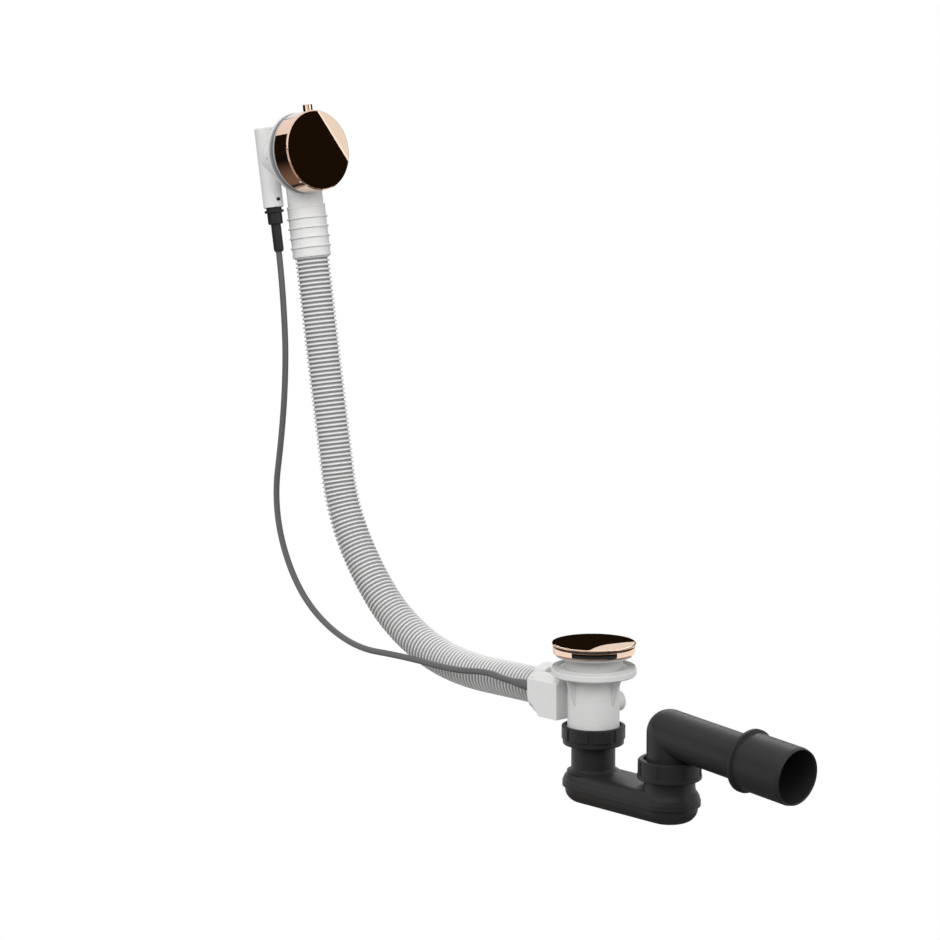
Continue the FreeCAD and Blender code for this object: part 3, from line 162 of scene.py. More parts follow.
# %% The floor
floor_z = -0.42
floor_mesh = bpy.data.meshes.new("floor")
bm = bmesh.new()
bmesh.ops.create_grid(bm, x_segments=1, y_segments=1, size=9.0)
bmesh.ops.translate(bm, vec=(0, 0, floor_z), verts=bm.verts)
bm.to_mesh(floor_mesh)
bm.free()
floor = bpy.data.objects.new("floor", floor_mesh)
bpy.context.scene.collection.objects.link(floor)
floor_white, tree, out = new_material("floor_white")
glow = add(tree, "ShaderNodeEmission", Color=(1, 1, 1, 1), Strength=1.0)
matt = add(tree, "ShaderNodeBsdfDiffuse", Color=(0.3, 0.3, 0.3, 1))
mix = add(tree, "ShaderNodeMixShader")
tree.links.new(is_mirrored_or_seen(tree), mix.inputs[0])
tree.links.new(matt.outputs[0], mix.inputs[1])
tree.links.new(glow.outputs[0], mix.inputs[2])
tree.links.new(mix.outputs[0], out.inputs["Surface"])
floor_mesh.materials.append(floor_white)
floor.visible_glossy = False

# %% The sky
world = bpy.data.worlds.new("studio")
bpy.context.scene.world = world
world.use_nodes = True
tree = world.node_tree
tree.nodes.clear()
world_out = tree.nodes.new("ShaderNodeOutputWorld")
white_sky = add(tree, "ShaderNodeBackground", Color=(1, 1, 1, 1), Strength=1.0)
soft_sky = add(tree, "ShaderNodeBackground", Color=(1, 1, 1, 1), Strength=0.66)
path = add(tree, "ShaderNodeLightPath")
less = add(tree, "ShaderNodeMath", operation="MULTIPLY_ADD")
less.inputs[1].default_value = -0.10
less.inputs[2].default_value = 1.0
tree.links.new(path.outputs["Is Glossy Ray"], less.inputs[0])
tree.links.new(less.outputs[0], white_sky.inputs["Strength"])
mix = add(tree, "ShaderNodeMixShader")
tree.links.new(is_mirrored_or_seen(tree), mix.inputs[0])
tree.links.new(soft_sky.outputs[0], mix.inputs[1])
tree.links.new(white_sky.outputs[0], mix.inputs[2])
tree.links.new(mix.outputs[0], world_out.inputs["Surface"])

# %% [markdown]
# Polished metal has no look of its own: it shows what stands round it. In the photograph the knob and the
# lid are near-black with one sharp pale wedge each, so the room is a tent of dark cloth, open above, and
# pale cards stand where each surface mirrors. All of these are seen in reflections only. Spots round the
# set are given by how far they lie to the side of the camera and how high, as a photographer would say it.

# %% Where things stand round the set
front = math.atan2(to_back.y, to_back.x)
knob_joint = [j for j in frame["record"]["behaviour"]["joints"] if j["name"] == "knob_turn"][0]
knob_spot = Vector(knob_joint["pos_m"])
wall_out = -Vector(knob_joint["axis"]).normalized()
print("knob at", [round(v, 4) for v in knob_spot], "facing", [round(v, 3) for v in wall_out])


def mirror_only(name, bm, colour, strength, fade=None):
    """Make a glowing card of a mesh, seen only in reflections. A fade dims it with distance."""
    mesh = bpy.data.meshes.new(name)
    bm.to_mesh(mesh)
    bm.free()
    material, tree, out = new_material(name)
    glow = add(tree, "ShaderNodeEmission", Color=(*colour, 1), Strength=strength)
    if fade:
        place = add(tree, "ShaderNodeTexCoord")
        far = add(tree, "ShaderNodeVectorMath", operation="LENGTH")
        near = add(tree, "ShaderNodeMapRange")
        near.inputs["From Min"].default_value = fade[0]
        near.inputs["From Max"].default_value = fade[1]
        near.inputs["To Min"].default_value = 1.0
        near.inputs["To Max"].default_value = 0.0
        steep = add(tree, "ShaderNodeMath", operation="POWER")
        steep.inputs[1].default_value = fade[2]
        level = add(tree, "ShaderNodeMath", operation="MULTIPLY_ADD")
        level.inputs[1].default_value = strength
        level.inputs[2].default_value = 0.008
        tree.links.new(place.outputs["Object"], far.inputs[0])
        tree.links.new(far.outputs["Value"], near.inputs["Value"])
        tree.links.new(near.outputs["Result"], steep.inputs[0])
        tree.links.new(steep.outputs[0], level.inputs[0])
        tree.links.new(level.outputs[0], glow.inputs["Strength"])
    tree.links.new(glow.outputs[0], out.inputs["Surface"])
    mesh.materials.append(material)
    obj = bpy.data.objects.new(name, mesh)
    bpy.context.scene.collection.objects.link(obj)
    for ray in ("camera", "diffuse", "transmission", "volume_scatter", "shadow"):
        setattr(obj, "visible_" + ray, False)
    return obj


def flat_card(name, corners, colour, strength):
    bm = bmesh.new()
    bmesh.ops.contextual_create(bm, geom=[bm.verts.new(corner) for corner in corners])
    return mirror_only(name, bm, colour, strength)


def curved_card(name, middle, radius, low, high, first, last, colour, strength):
    """An upright curved card about a spot, between two angles to the side of the camera."""
    bm = bmesh.new()
    ends = [bm.verts.new((radius, 0, low)), bm.verts.new((radius, 0, high))]
    upright = bm.edges.new(ends)
    bmesh.ops.spin(bm, geom=ends + [upright], cent=(0, 0, 0), axis=(0, 0, 1), angle=math.radians(last - first),
                   steps=48)
    turn = Matrix.Rotation(front + math.radians(first), 3, "Z")
    bmesh.ops.rotate(bm, cent=(0, 0, 0), matrix=turn, verts=bm.verts)
    bmesh.ops.translate(bm, vec=(middle[0], middle[1], 0), verts=bm.verts)
    return mirror_only(name, bm, colour, strength)


# %% The dark tent and its floor
curved_card("dark_wall", (0, 0), 6.0, -0.6, 3.0, -180, 180, (0.0105, 0.0064, 0.0029), 1.0)
bm = bmesh.new()
bmesh.ops.create_circle(bm, cap_ends=True, radius=6.0, segments=64)
dark_floor = mirror_only("dark_floor", bm, (1.0, 0.68, 0.50), 0.40, fade=(0.45, 3.4, 3.2))
dark_floor.data.transform(Matrix.Translation((0, 0, floor_z + 0.004)))

# %% [markdown]
# Each pale card stands just where its surface mirrors, so its edge draws the wedge's border: one far to the
# right and behind for the knob's face, one straight behind for the lid. Two upright strips give the finger
# pin its bars of light, and a low ring of cloth, open towards the camera, lights the trim ring's two ends.

# %% Cards for knob, lid, pin and trim ring
near_edge = [Vector((1.9730, 2.0542, 1.1744)), Vector((1.9641, 2.1058, 1.0449))]
far_corner = Vector((1.9017, 2.1383, 1.1672))
inner_edge = [spot.lerp(far_corner, 0.03) for spot in near_edge]
flat_card("knob_wedge", inner_edge + [(1.9447, 2.1322, 1.0325), far_corner, (1.9497, 2.0775, 1.1850)],
          (0.92, 0.99, 0.99), 1.0)
flat_card("knob_wedge_line", near_edge + inner_edge[::-1], (1.0, 1.05, 1.05), 1.2)
flat_card("lid_wedge", [(-2.1792, 2.1476, 0.9121), (-2.1784, 2.1706, 0.848), (-2.1749, 2.1924, 0.7947),
                        (-2.1672, 2.2136, 0.7555), (-2.1558, 2.2349, 0.7258), (-2.1419, 2.2611, 0.6895),
                        (-2.1251, 2.2881, 0.6589), (-2.0848, 2.2577, 0.8611), (-2.1131, 2.1773, 1.0135),
                        (-2.1787, 2.1381, 0.9408)], (0.87, 0.83, 0.77), 1.0)
curved_card("left_bar", knob_spot, 3.5, 0.50, 1.45, -58, -20, (1.0, 0.93, 0.86), 1.2)
curved_card("right_bar", knob_spot, 3.5, 0.85, 2.05, 44, 76, (1.0, 1.0, 1.0), 2.0)
level_back = Vector((to_back.x, to_back.y, 0)).normalized()


def upright_card(name, reach, half_width, low, high, colour, strength):
    """A card across the camera's line, some way before the knob (or behind it), between two heights."""
    middle = Vector((knob_spot.x, knob_spot.y, 0)) + level_back * reach
    corners = [middle + to_right * side + Vector((0, 0, z)) for side, z in
               ((-half_width, low), (half_width, low), (half_width, high), (-half_width, high))]
    return flat_card(name, corners, colour, strength)


upright_card("behind_knob", -0.25, 0.12, 0.458, 0.65, (0.92, 0.97, 1.0), 0.95)
upright_card("bevel_high", 0.25, 0.07, 0.503, 0.95, (1.0, 1.0, 1.0), 0.95)
upright_card("bevel_middle", 0.25, 0.07, 0.385, 0.4935, (1.0, 0.93, 0.87), 0.70)
upright_card("bevel_low", 0.25, 0.07, 0.20, 0.385, (1.0, 0.72, 0.55), 0.45)
for name, first, last in (("left_cloth", -172, -64), ("right_cloth", 63, 172)):
    curved_card(name, (0, 0), 0.62, -0.30, 0.10, first, last, (1.0, 0.99, 0.98), 1.0)
curved_card("front_cloth", (0, 0), 0.75, -0.30, -0.02, -66, 66, (0.022, 0.036, 0.048), 1.0)
bm = bmesh.new()
bmesh.ops.create_circle(bm, cap_ends=True, radius=0.45, segments=48)
grey_disc = mirror_only("grey_disc", bm, (1.0, 1.0, 1.0), 0.14)
grey_disc.data.transform(Matrix.Translation((0.06, 0, floor_z + 0.008)))
flat_card("floor_strip", [(-1.6, 0.085, -0.412), (-0.7, 0.085, -0.412), (-0.7, 0.185, -0.412),
                          (-1.6, 0.185, -0.412)], (0.01, 0.008, 0.006), 1.0)
flat_card("floor_patch", [(-1.9, 0.19, -0.413), (-0.7, 0.19, -0.413), (-0.7, 1.1, -0.413), (-1.9, 1.1, -0.413)],
          (1.0, 0.68, 0.50), 0.34)


# %% [markdown]
# The light itself is plain: one big soft lamp from the front left, a weaker one from the right, and a low
# lamp behind that puts a soft edge of light on the black plastic's upper sides.

# %% Lamps
def soft_lamp(name, spot, aim, size, watts, mirrored):
    data = bpy.data.lights.new(name, "AREA")
    data.shape = "RECTANGLE"
    data.size = size[0]
    data.size_y = size[1]
    data.energy = watts
    lamp = bpy.data.objects.new(name, data)
    bpy.context.scene.collection.objects.link(lamp)
    way = Vector(aim) - Vector(spot)
    lamp.rotation_euler = way.to_track_quat("-Z", "Y").to_euler()
    lamp.location = spot
    lamp.visible_camera = False
    lamp.visible_glossy = mirrored
    return lamp


soft_lamp("key", (0.9, -3.2, 2.6), (-0.05, 0, 0.1), (2.4, 2.4), 75, False)
soft_lamp("fill", (3.0, 0.2, 1.6), (-0.05, 0, 0.1), (2.4, 2.2), 32, False)
soft_lamp("rim", (-2.7, 2.5, 1.95), (0.0, 0, 0.0), (2.2, 0.9), 24, True)

# %% [markdown]
# Moulded plastic is never one flat colour: its skin has a fine grain from the mould, and the gloss changes a
# little from place to place. One recipe with a few numbers serves all the plastics and rubbers here. The
# patterns read object coordinates, so they sit still on the piece. A small rounding of the normals at edges
# stands for the radius that every moulded edge has.


# %% Recipe for moulded plastic and rubber
def moulded(name, colour, rough, grain, grain_size, mottle, round_edge, spec=0.5, cloud=55.0):
    """Plastic with a tint that drifts by mottle, grain of a size in millimetres and rounded edges."""
    material, tree, out = new_material(name)
    place = add(tree, "ShaderNodeTexCoord")
    shell = add(tree, "ShaderNodeBsdfPrincipled")
    shell.inputs["Specular IOR Level"].default_value = spec
    fine = add(tree, "ShaderNodeTexNoise", Scale=1000.0 / grain_size, Detail=3.0, Roughness=0.6)
    broad = add(tree, "ShaderNodeTexNoise", Scale=cloud, Detail=2.0, Roughness=0.5)
    tint = add(tree, "ShaderNodeMix", data_type="RGBA")
    tint.inputs["A"].default_value = (*[c * (1 - mottle) for c in colour], 1)
    tint.inputs["B"].default_value = (*[min(1, c * (1 + mottle)) for c in colour], 1)
    gloss = add(tree, "ShaderNodeMapRange")
    gloss.inputs["To Min"].default_value = rough - 0.04
    gloss.inputs["To Max"].default_value = rough + 0.06
    bump = add(tree, "ShaderNodeBump", Strength=grain, Distance=0.00006)
    edge = add(tree, "ShaderNodeBevel", samples=6, Radius=round_edge)
    tree.links.new(place.outputs["Object"], fine.inputs["Vector"])
    tree.links.new(place.outputs["Object"], broad.inputs["Vector"])
    tree.links.new(broad.outputs["Fac"], tint.inputs["Factor"])
    tree.links.new(broad.outputs["Fac"], gloss.inputs["Value"])
    tree.links.new(fine.outputs["Fac"], bump.inputs["Height"])
    tree.links.new(edge.outputs["Normal"], bump.inputs["Normal"])
    tree.links.new(tint.outputs["Result"], shell.inputs["Base Color"])
    tree.links.new(gloss.outputs["Result"], shell.inputs["Roughness"])
    tree.links.new(bump.outputs["Normal"], shell.inputs["Normal"])
    tree.links.new(shell.outputs[0], out.inputs["Surface"])
    return material


white_shell = moulded("white_moulding", (0.80, 0.80, 0.795), 0.42, 0.25, 1.3, 0.025, 0.0004)
grained_shell = moulded("grained_moulding", (0.73, 0.73, 0.725), 0.45, 0.55, 0.9, 0.045, 0.0004, 0.5, 520.0)
# The trim's neck: the grained plastic made darker, as painted shade for the lid's shadow on it
neck_shell_painted_shade = moulded("neck_moulding_painted_shade", (0.60, 0.60, 0.597), 0.45, 0.55, 0.9, 0.045, 0.0004, 0.5, 520.0)
# The knob's hub: a grey plastic, made darker partly as painted shade behind the knob
hub_shell_grey_and_painted_shade = moulded("hub_moulding_grey_and_painted_shade", (0.46, 0.46, 0.46), 0.42, 0.25, 1.3, 0.025, 0.0002)
black_shell = moulded("black_moulding", (0.023, 0.023, 0.0235), 0.42, 0.2, 1.0, 0.06, 0.0005, 0.25)
grey_shell = moulded("grey_moulding", (0.022, 0.022, 0.023), 0.45, 0.2, 0.9, 0.05, 0.0003, 0.34)
cable_skin = moulded("cable_skin", (0.125, 0.125, 0.128), 0.5, 0.15, 0.8, 0.04, 0.0001, 0.35)
grey_seal = moulded("grey_rubber", (0.34, 0.34, 0.35), 0.6, 0.4, 0.7, 0.06, 0.0003, 0.35)
pale_seal = moulded("pale_rubber", (0.62, 0.62, 0.61), 0.55, 0.3, 0.7, 0.03, 0.0001, 0.35)
dark_lever = moulded("lever_plastic", (0.28, 0.28, 0.29), 0.42, 0.25, 1.0, 0.04, 0.0003)
print("plastics and rubbers ready")

# %% [markdown]
# The rose gold is a thin plated coat over polished brass. It mirrors almost sharply, so its look is made by
# what stands round it. Very faint polishing swirls and a slow change of gloss keep it from looking computed.


# %% Recipe for metal
def metal(name, colour, rough, spread, streak):
    """Metal whose gloss changes by spread along noise stretched by streak."""
    material, tree, out = new_material(name)
    place = add(tree, "ShaderNodeTexCoord")
    shell = add(tree, "ShaderNodeBsdfPrincipled", Metallic=1.0)
    stretch = add(tree, "ShaderNodeMapping")
    stretch.inputs["Scale"].default_value = streak
    swirl = add(tree, "ShaderNodeTexNoise", Scale=260.0, Detail=4.0, Roughness=0.55)
    cloud = add(tree, "ShaderNodeTexNoise", Scale=18.0, Detail=1.0)
    gloss = add(tree, "ShaderNodeMapRange")
    gloss.inputs["To Min"].default_value = max(0.0, rough - spread)
    gloss.inputs["To Max"].default_value = rough + spread
    tint = add(tree, "ShaderNodeMix", data_type="RGBA")
    tint.inputs["A"].default_value = (*[c * 0.98 for c in colour], 1)
    tint.inputs["B"].default_value = (*[min(1, c * 1.02) for c in colour], 1)
    tree.links.new(place.outputs["Object"], stretch.inputs["Vector"])
    tree.links.new(stretch.outputs["Vector"], swirl.inputs["Vector"])
    tree.links.new(place.outputs["Object"], cloud.inputs["Vector"])
    tree.links.new(swirl.outputs["Fac"], gloss.inputs["Value"])
    tree.links.new(cloud.outputs["Fac"], tint.inputs["Factor"])
    tree.links.new(tint.outputs["Result"], shell.inputs["Base Color"])
    tree.links.new(gloss.outputs["Result"], shell.inputs["Roughness"])
    tree.links.new(shell.outputs[0], out.inputs["Surface"])
    return material


rose_gold = metal("rose_gold_plate", (0.90, 0.66, 0.52), 0.004, 0.004, (1, 1, 1))
steel = metal("plain_steel", (0.56, 0.56, 0.57), 0.3, 0.08, (1, 1, 6))

# %% [markdown]
# The hose is blown in pale plastic. Its colour is painted darker in the grooves and paler on the ridges,
# a painted shade between the ribs. The mesh will carry how high each point stands in its rib, so the painted
# shade can follow the ribs however the hose bends.

# %% Skin of the hose, with painted shade in its grooves
hose_skin_painted_groove_shade, tree, out = new_material("hose_skin_painted_groove_shade")
place = add(tree, "ShaderNodeTexCoord")
rise_read = add(tree, "ShaderNodeAttribute", attribute_name="rise")
shell = add(tree, "ShaderNodeBsdfPrincipled")
# Painted shade: dark grey at the bottom of each groove, pale on the ridge
shade = add(tree, "ShaderNodeValToRGB")
shade.color_ramp.elements[0].position = 0.08
shade.color_ramp.elements[0].color = (0.30, 0.30, 0.30, 1)
shade.color_ramp.elements[1].position = 0.85
shade.color_ramp.elements[1].color = (0.88, 0.88, 0.875, 1)
cloud = add(tree, "ShaderNodeTexNoise", Scale=90.0, Detail=2.0)
drift = add(tree, "ShaderNodeMix", data_type="RGBA", blend_type="MULTIPLY")
drift.inputs["Factor"].default_value = 1.0
soft = add(tree, "ShaderNodeMapRange")
soft.inputs["To Min"].default_value = 0.95
soft.inputs["To Max"].default_value = 1.0
fine = add(tree, "ShaderNodeTexNoise", Scale=900.0, Detail=2.0)
gloss = add(tree, "ShaderNodeMapRange")
gloss.inputs["To Min"].default_value = 0.30
gloss.inputs["To Max"].default_value = 0.42
bump = add(tree, "ShaderNodeBump", Strength=0.15, Distance=0.00005)
tree.links.new(place.outputs["Object"], cloud.inputs["Vector"])
tree.links.new(place.outputs["Object"], fine.inputs["Vector"])
tree.links.new(rise_read.outputs["Fac"], shade.inputs["Fac"])
tree.links.new(cloud.outputs["Fac"], soft.inputs["Value"])
tree.links.new(shade.outputs["Color"], drift.inputs["A"])
tree.links.new(soft.outputs["Result"], drift.inputs["B"])
tree.links.new(drift.outputs["Result"], shell.inputs["Base Color"])
tree.links.new(cloud.outputs["Fac"], gloss.inputs["Value"])
tree.links.new(gloss.outputs["Result"], shell.inputs["Roughness"])
tree.links.new(fine.outputs["Fac"], bump.inputs["Height"])
tree.links.new(bump.outputs["Normal"], shell.inputs["Normal"])
tree.links.new(shell.outputs[0], out.inputs["Surface"])

# %% Which finish goes where
finish_of = {"rose_gold": rose_gold, "white_plastic": white_shell, "hose_plastic": hose_skin_painted_groove_shade,
             "black_plastic": black_shell, "grey_plastic": grey_shell, "cable_grey": cable_skin,
             "seal_grey": grey_seal, "seal_pale": pale_seal, "steel": steel, "lever_plastic": dark_lever}
own_finish = {"waste_body": grained_shell, "trim_neck": neck_shell_painted_shade, "knob_hub": hub_shell_grey_and_painted_shade}
slot_of = {part["node"]: part["material_slot"] for part in frame["record"]["subparts"]}
body_of = {name: body for body, names in frame["record"]["behaviour"]["bodies"].items() for name in names}
print("finishes:", len(finish_of) + 1)

# %% [markdown]
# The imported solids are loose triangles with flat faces, so a round pipe would show facets. Each one gets a
# smooth copy: its corners are merged, edges sharper than thirty degrees stay crisp and everything else is
# shaded round. A weighted normal keeps big flat faces flat beside small fillets.


# %% Smooth copies of the solids
def as_piece(name, mesh, node):
    """Link a mesh as a piece that stands for a CAD node and rides on its body."""
    piece = bpy.data.objects.new(name, mesh)
    bpy.context.scene.collection.objects.link(piece)
    mesh.materials.clear()
    mesh.materials.append(own_finish.get(node, finish_of[slot_of[node]]))
    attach(piece, body_of[node])
    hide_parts(node)
    weigh = piece.modifiers.new("flat faces stay flat", "WEIGHTED_NORMAL")
    weigh.keep_sharp = True
    return piece


def smooth_copy(node, crisp=30.0):
    mesh = bpy.data.meshes.new(node + "_smooth")
    bm = bmesh.new()
    bm.from_mesh(frame["nodes"][node].data)
    bmesh.ops.remove_doubles(bm, verts=bm.verts, dist=2e-6)
    for edge in bm.edges:
        edge.smooth = edge.calc_face_angle(0.0) < math.radians(crisp)
    for face in bm.faces:
        face.smooth = True
        face.material_index = 0
    bm.to_mesh(mesh)
    bm.free()
    return as_piece(node + "_smooth", mesh, node)


made_again = ["hose", "cable_jacket", "knob_cap", "knob_pin", "plug_lid", "trim_flange", "flange_seal"]
for node in sorted(frame["nodes"]):
    if node not in made_again:
        smooth_copy(node)
print("smooth copies:", len(frame["nodes"]) - len(made_again))

# %% [markdown]
# A mirror shows every facet, so the polished metal is turned afresh, as on a lathe: an outline of radius and
# height is spun in fine steps. The outline's sharp corners get a real rounding, because on a plated part it
# is the thin bright line along each edge that tells the eye it is metal. Sizes are read from the solids.


# %% A lathe
def own_size(node, place):
    """Largest radius, lowest and highest point of a solid in the frame of its own axis."""
    back = place.inverted()
    points = [back @ v.co for v in frame["nodes"][node].data.vertices]
    radius = max(math.hypot(p.x, p.y) for p in points)
    return radius, min(p.z for p in points), max(p.z for p in points)


def rounded_corner(before, corner, after, radius, steps=5):
    """Points of a small arc that takes the place of an outline's corner."""
    a = (Vector(before) - Vector(corner)).normalized()
    b = (Vector(after) - Vector(corner)).normalized()
    half = a.angle(b) / 2
    centre = Vector(corner) + (a + b).normalized() * (radius / math.sin(half))
    first = Vector(corner) + a * (radius / math.tan(half)) - centre
    last = Vector(corner) + b * (radius / math.tan(half)) - centre
    arc = []
    for k in range(steps + 1):
        arm = first.lerp(last, k / steps).normalized() * radius
        arc.append(tuple(centre + arm))
    return arc


def turned_piece(name, outline, node, place, closed=False, steps=160):
    """Spin an outline of (radius, height) points about an axis and lay it in its place."""
    bm = bmesh.new()
    verts = [bm.verts.new((r, 0, z)) for r, z in outline]
    links = [bm.edges.new(pair) for pair in zip(verts, verts[1:])]
    if closed:
        links.append(bm.edges.new((verts[-1], verts[0])))
    bmesh.ops.spin(bm, geom=verts + links, cent=(0, 0, 0), axis=(0, 0, 1), angle=2 * math.pi, steps=steps,
                   use_merge=True)
    bmesh.ops.remove_doubles(bm, verts=bm.verts, dist=1e-6)
    bmesh.ops.recalc_face_normals(bm, faces=bm.faces)
    for edge in bm.edges:
        edge.smooth = edge.calc_face_angle(0.0) < math.radians(35)
    for face in bm.faces:
        face.smooth = True
    bmesh.ops.transform(bm, matrix=place, verts=bm.verts)
    mesh = bpy.data.meshes.new(name)
    bm.to_mesh(mesh)
    bm.free()
    print(name, len(mesh.polygons), "faces")
    return as_piece(name, mesh, node)


# %% [markdown]
# The knob is a drawn metal cup over a plastic hub. Its face leans back with the bath's end wall, so the
# lathe's axis is the knob joint's own axis. The finger pin is a plain turned bar that stands on its rim.

# %% Knob cap and finger pin
knob_place = Matrix.Translation(knob_spot) @ Vector((0, 0, 1)).rotation_difference(wall_out).to_matrix().to_4x4()
cap_r, cap_back, cap_front = own_size("knob_cap", knob_place)
cap_wall = 0.0012
cap_face = 0.0015
bevel = 0.0011
rim = [*rounded_corner((0, 0), (cap_r - bevel, 0), (cap_r, -bevel), 0.0003, 3),
       *rounded_corner((cap_r - bevel, 0), (cap_r, -bevel), (cap_r, cap_back), 0.0003, 3)]
cup = [(0, 0), *rim, (cap_r, cap_back), (cap_r - cap_wall, cap_back), (cap_r - cap_wall, -cap_face),
       (0, -cap_face)]
turned_piece("polished_knob", cup, "knob_cap", knob_place)

wall_down = Vector((wall_out.z, 0, -wall_out.x))
pin_depth = 0.0082
pin_axis = knob_spot - wall_out * pin_depth
pin_place = Matrix.Translation(pin_axis) @ Vector((0, 0, 1)).rotation_difference(-wall_down).to_matrix().to_4x4()
pin_r, pin_low, pin_high = own_size("knob_pin", pin_place)
pin_rim = rounded_corner((0, pin_high), (pin_r, pin_high), (pin_r, pin_low), 0.0005)
turned_piece("finger_pin", [(0, pin_high), *pin_rim, (pin_r, pin_low), (0, pin_low)], "knob_pin", pin_place,
             steps=96)

# %% [markdown]
# The lid is a shallow dome with a lip that tucks in underneath. Below it hangs the short boss that takes the
# stem and the ring that holds the seal. The dome is what bends the wedge of light on it into a curve.

# %% Lid
upright = Matrix.Identity(4)
lid_r, boss_low, lid_top = own_size("plug_lid", upright)
dome = 0.0006
lip_top = lid_top - dome
lid_low = lip_top - 0.0037
dome_r = lid_r - 0.0009
lid_outline = [(0, lid_low), (0.0041, lid_low), (0.0041, boss_low), (0.0070, boss_low), (0.0070, lid_low),
               (0.0230, lid_low), (0.0230, lid_low - 0.0018), (0.0249, lid_low - 0.0018), (0.0249, lid_low),
               (lid_r - 0.0045, lid_low)]
for turn in range(-60, 91, 10):
    a = math.radians(turn)
    lid_outline.append((lid_r - 0.0009 + 0.0009 * math.cos(a), lip_top - 0.0009 + 0.0009 * math.sin(a)))
for k in range(1, 20):
    r = dome_r * (1 - k / 20.0)
    lid_outline.append((r, lip_top + dome * (1 - (r / dome_r) ** 2)))
lid_outline.append((0, lid_top))
turned_piece("polished_lid", lid_outline, "plug_lid", upright)

# %% [markdown]
# The trim ring has a full, rounded outer edge and a step inside on which the plug's seal comes to rest. Its
# edge is drawn with many points, since a few would break the pale patches it mirrors into bands.

# %% Trim ring
trim_r, trim_low, trim_top = own_size("trim_flange", upright)
ledge_z = trim_top - 0.0030
neck_top = trim_low + 0.46 * (ledge_z - trim_low)
trim_outline = [(0.0244, trim_low), (trim_r - 0.0018, trim_low)]
for k in range(1, 12):
    a = math.radians(90.0 * k / 12)
    trim_outline.append((trim_r - 0.0018 + 0.0018 * math.sin(a), trim_low + 0.0021 * (1 - math.cos(a))))
for k in range(9):
    share = k / 8.0
    trim_outline.append((trim_r - 0.0003 * share ** 2, trim_low + 0.0021 + 0.0038 * share))
for k in range(1, 8):
    a = math.radians(180.0 * k / 8)
    trim_outline.append((trim_r - 0.0005 + 0.0002 * math.cos(a), trim_low + 0.0059 + 0.0002 * math.sin(a)))
trim_outline += [(trim_r - 0.0012, trim_top), (0.0330, trim_top), (0.0315, ledge_z), (0.0240, ledge_z),
                 (0.0230, neck_top), (0.0244, neck_top)]
turned_piece("polished_trim", trim_outline, "trim_flange", upright, closed=True)

# %% [markdown]
# The seal under the bath's floor is a flat rubber ring with fine round ribs near its rim, which press into
# the bath's enamel. Each rib is half a circle or so in section.

# %% Ribbed seal
seal_r, seal_low, seal_top = own_size("flange_seal", upright)
seal_in = 0.0254
rib_rise = 0.0008
rib_half = 0.00042
seal_outline = [(seal_in, seal_low), (seal_r, seal_low), (seal_r, seal_top - rib_rise)]
for k in range(5):
    crest = seal_r - 0.0006 - k * 0.0014
    for turn in range(0, 181, 30):
        a = math.radians(turn)
        seal_outline.append((crest + rib_half * math.cos(a), seal_top - rib_rise + rib_rise * math.sin(a)))
seal_outline.append((seal_in, seal_top - rib_rise))
turned_piece("ribbed_seal", seal_outline, "flange_seal", upright, closed=True)

# %% [markdown]
# The ribbed wall of the hose is a straight tube first: one rib's outline is repeated, spun round, and then
# every ring is moved onto the line. Its ends slide over the overflow's barb and the tail at the drain.

# %% The ribbed hose, straight
rib_pitch = 0.00409
ridge_r = 0.01635
groove_r = 0.01425
hose_bore = 0.01340
ribs = int(round(hose_length / rib_pitch))
step = hose_length / ribs
rib_outline = [(0.00, 0.0), (0.12, 0.05), (0.25, 0.42), (0.38, 0.80), (0.52, 1.0), (0.64, 0.95), (0.73, 0.52),
               (0.82, 0.05)]
bm = bmesh.new()
chain = []
for k in range(ribs):
    for share, rise in rib_outline:
        chain.append(bm.verts.new((groove_r + (ridge_r - groove_r) * rise, 0, (k + share) * step)))
chain.append(bm.verts.new((groove_r, 0, hose_length)))
chain.append(bm.verts.new((hose_bore, 0, hose_length)))
chain.append(bm.verts.new((hose_bore, 0, 0)))
links = [bm.edges.new((a, b)) for a, b in zip(chain, chain[1:] + chain[:1])]
bmesh.ops.spin(bm, geom=chain + links, cent=(0, 0, 0), axis=(0, 0, 1), angle=2 * math.pi, steps=52,
               use_merge=True)
inner_wall = [e for e in bm.edges if abs(e.calc_length() - hose_length) < 1e-4]
bmesh.ops.subdivide_edges(bm, edges=inner_wall, cuts=ribs - 1)
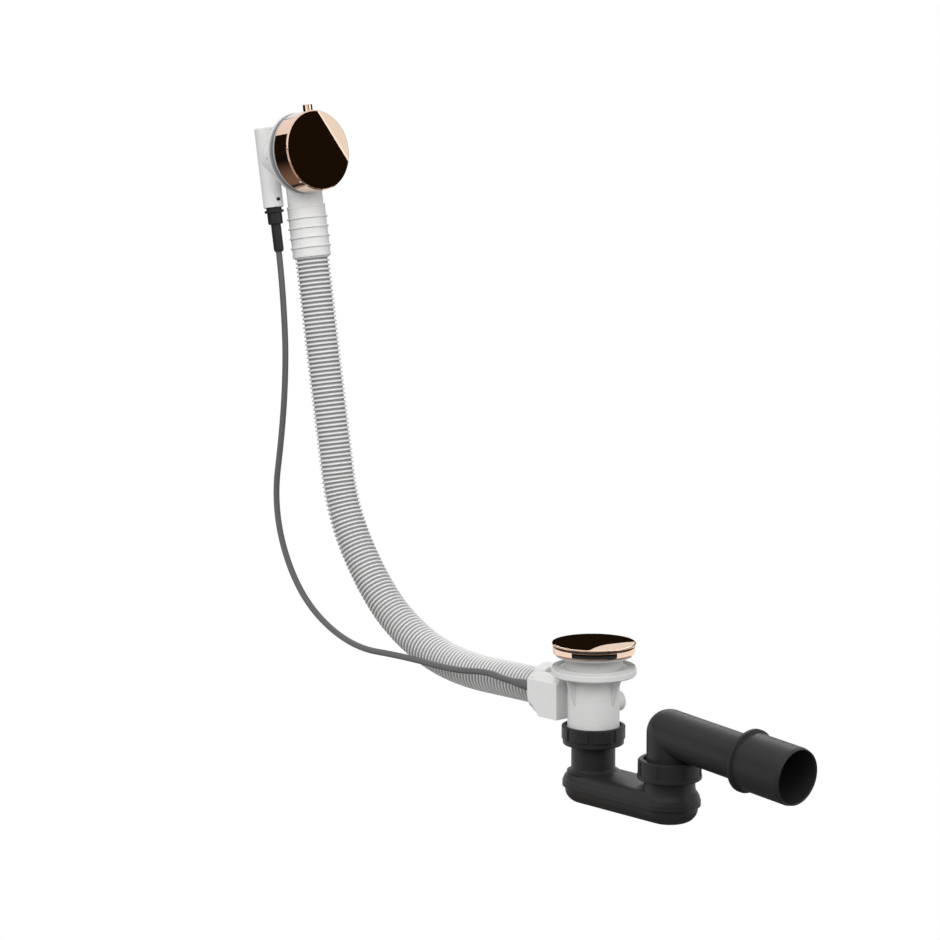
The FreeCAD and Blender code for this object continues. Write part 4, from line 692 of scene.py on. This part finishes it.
# How high each point stands in its rib; the hose's painted groove shade reads it
rise_layer = bm.verts.layers.float.new("rise")
for vert in bm.verts:
    out_by = math.hypot(vert.co.x, vert.co.y)
    vert[rise_layer] = max(0.0, (out_by - groove_r) / (ridge_r - groove_r))
print("straight hose:", len(bm.faces), "faces,", ribs, "ribs")


# %% Lay the hose on its line
def bend_along(bm, points, reach, side):
    """Move a straight mesh that stands on Z onto a line; side is a direction the line never turns to."""
    index = 0
    for vert in sorted(bm.verts, key=lambda v: v.co.z):
        z = min(max(vert.co.z, 0.0), reach[-1])
        while index < len(reach) - 2 and z > reach[index + 1]:
            index += 1
        share = (z - reach[index]) / (reach[index + 1] - reach[index])
        here = points[index].lerp(points[index + 1], share)
        before = points[max(index - 1, 0)]
        after = points[min(index + 2, len(points) - 1)]
        first = (points[index + 1] - before).normalized()
        second = (after - points[index]).normalized()
        along = first.lerp(second, share).normalized()
        across = side.cross(along).normalized()
        flat = along.cross(across)
        vert.co = here + across * vert.co.x + flat * vert.co.y


bend_along(bm, hose_points, hose_reach, Vector((0, 1, 0)))
bmesh.ops.recalc_face_normals(bm, faces=bm.faces)
for face in bm.faces:
    face.smooth = True
hose_mesh = bpy.data.meshes.new("ribbed_hose")
bm.to_mesh(hose_mesh)
bm.free()
hose = bpy.data.objects.new("ribbed_hose", hose_mesh)
bpy.context.scene.collection.objects.link(hose)
hose_mesh.materials.append(hose_skin_painted_groove_shade)
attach(hose, "fixed")
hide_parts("hose")
every = max(1, len(hose_points) // 120)
hose_path = hose_points[::every]
if hose_path[-1] != hose_points[-1]:
    hose_path.append(hose_points[-1])

# %% [markdown]
# The cable is a smooth extruded jacket, so a bevelled curve is all it needs: the spline is its own centre
# line, and the bevel its thickness.

# %% The cable
cable_curve.bevel_depth = 0.0029
cable_curve.bevel_resolution = 6
cable_curve.use_fill_caps = True
cable_curve.materials.append(cable_skin)
cable = bpy.data.objects.new("cable", cable_curve)
bpy.context.scene.collection.objects.link(cable)
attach(cable, "fixed")
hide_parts("cable_jacket")
print("cable length", round(cable_reach[-1] * 1000, 1), "mm")
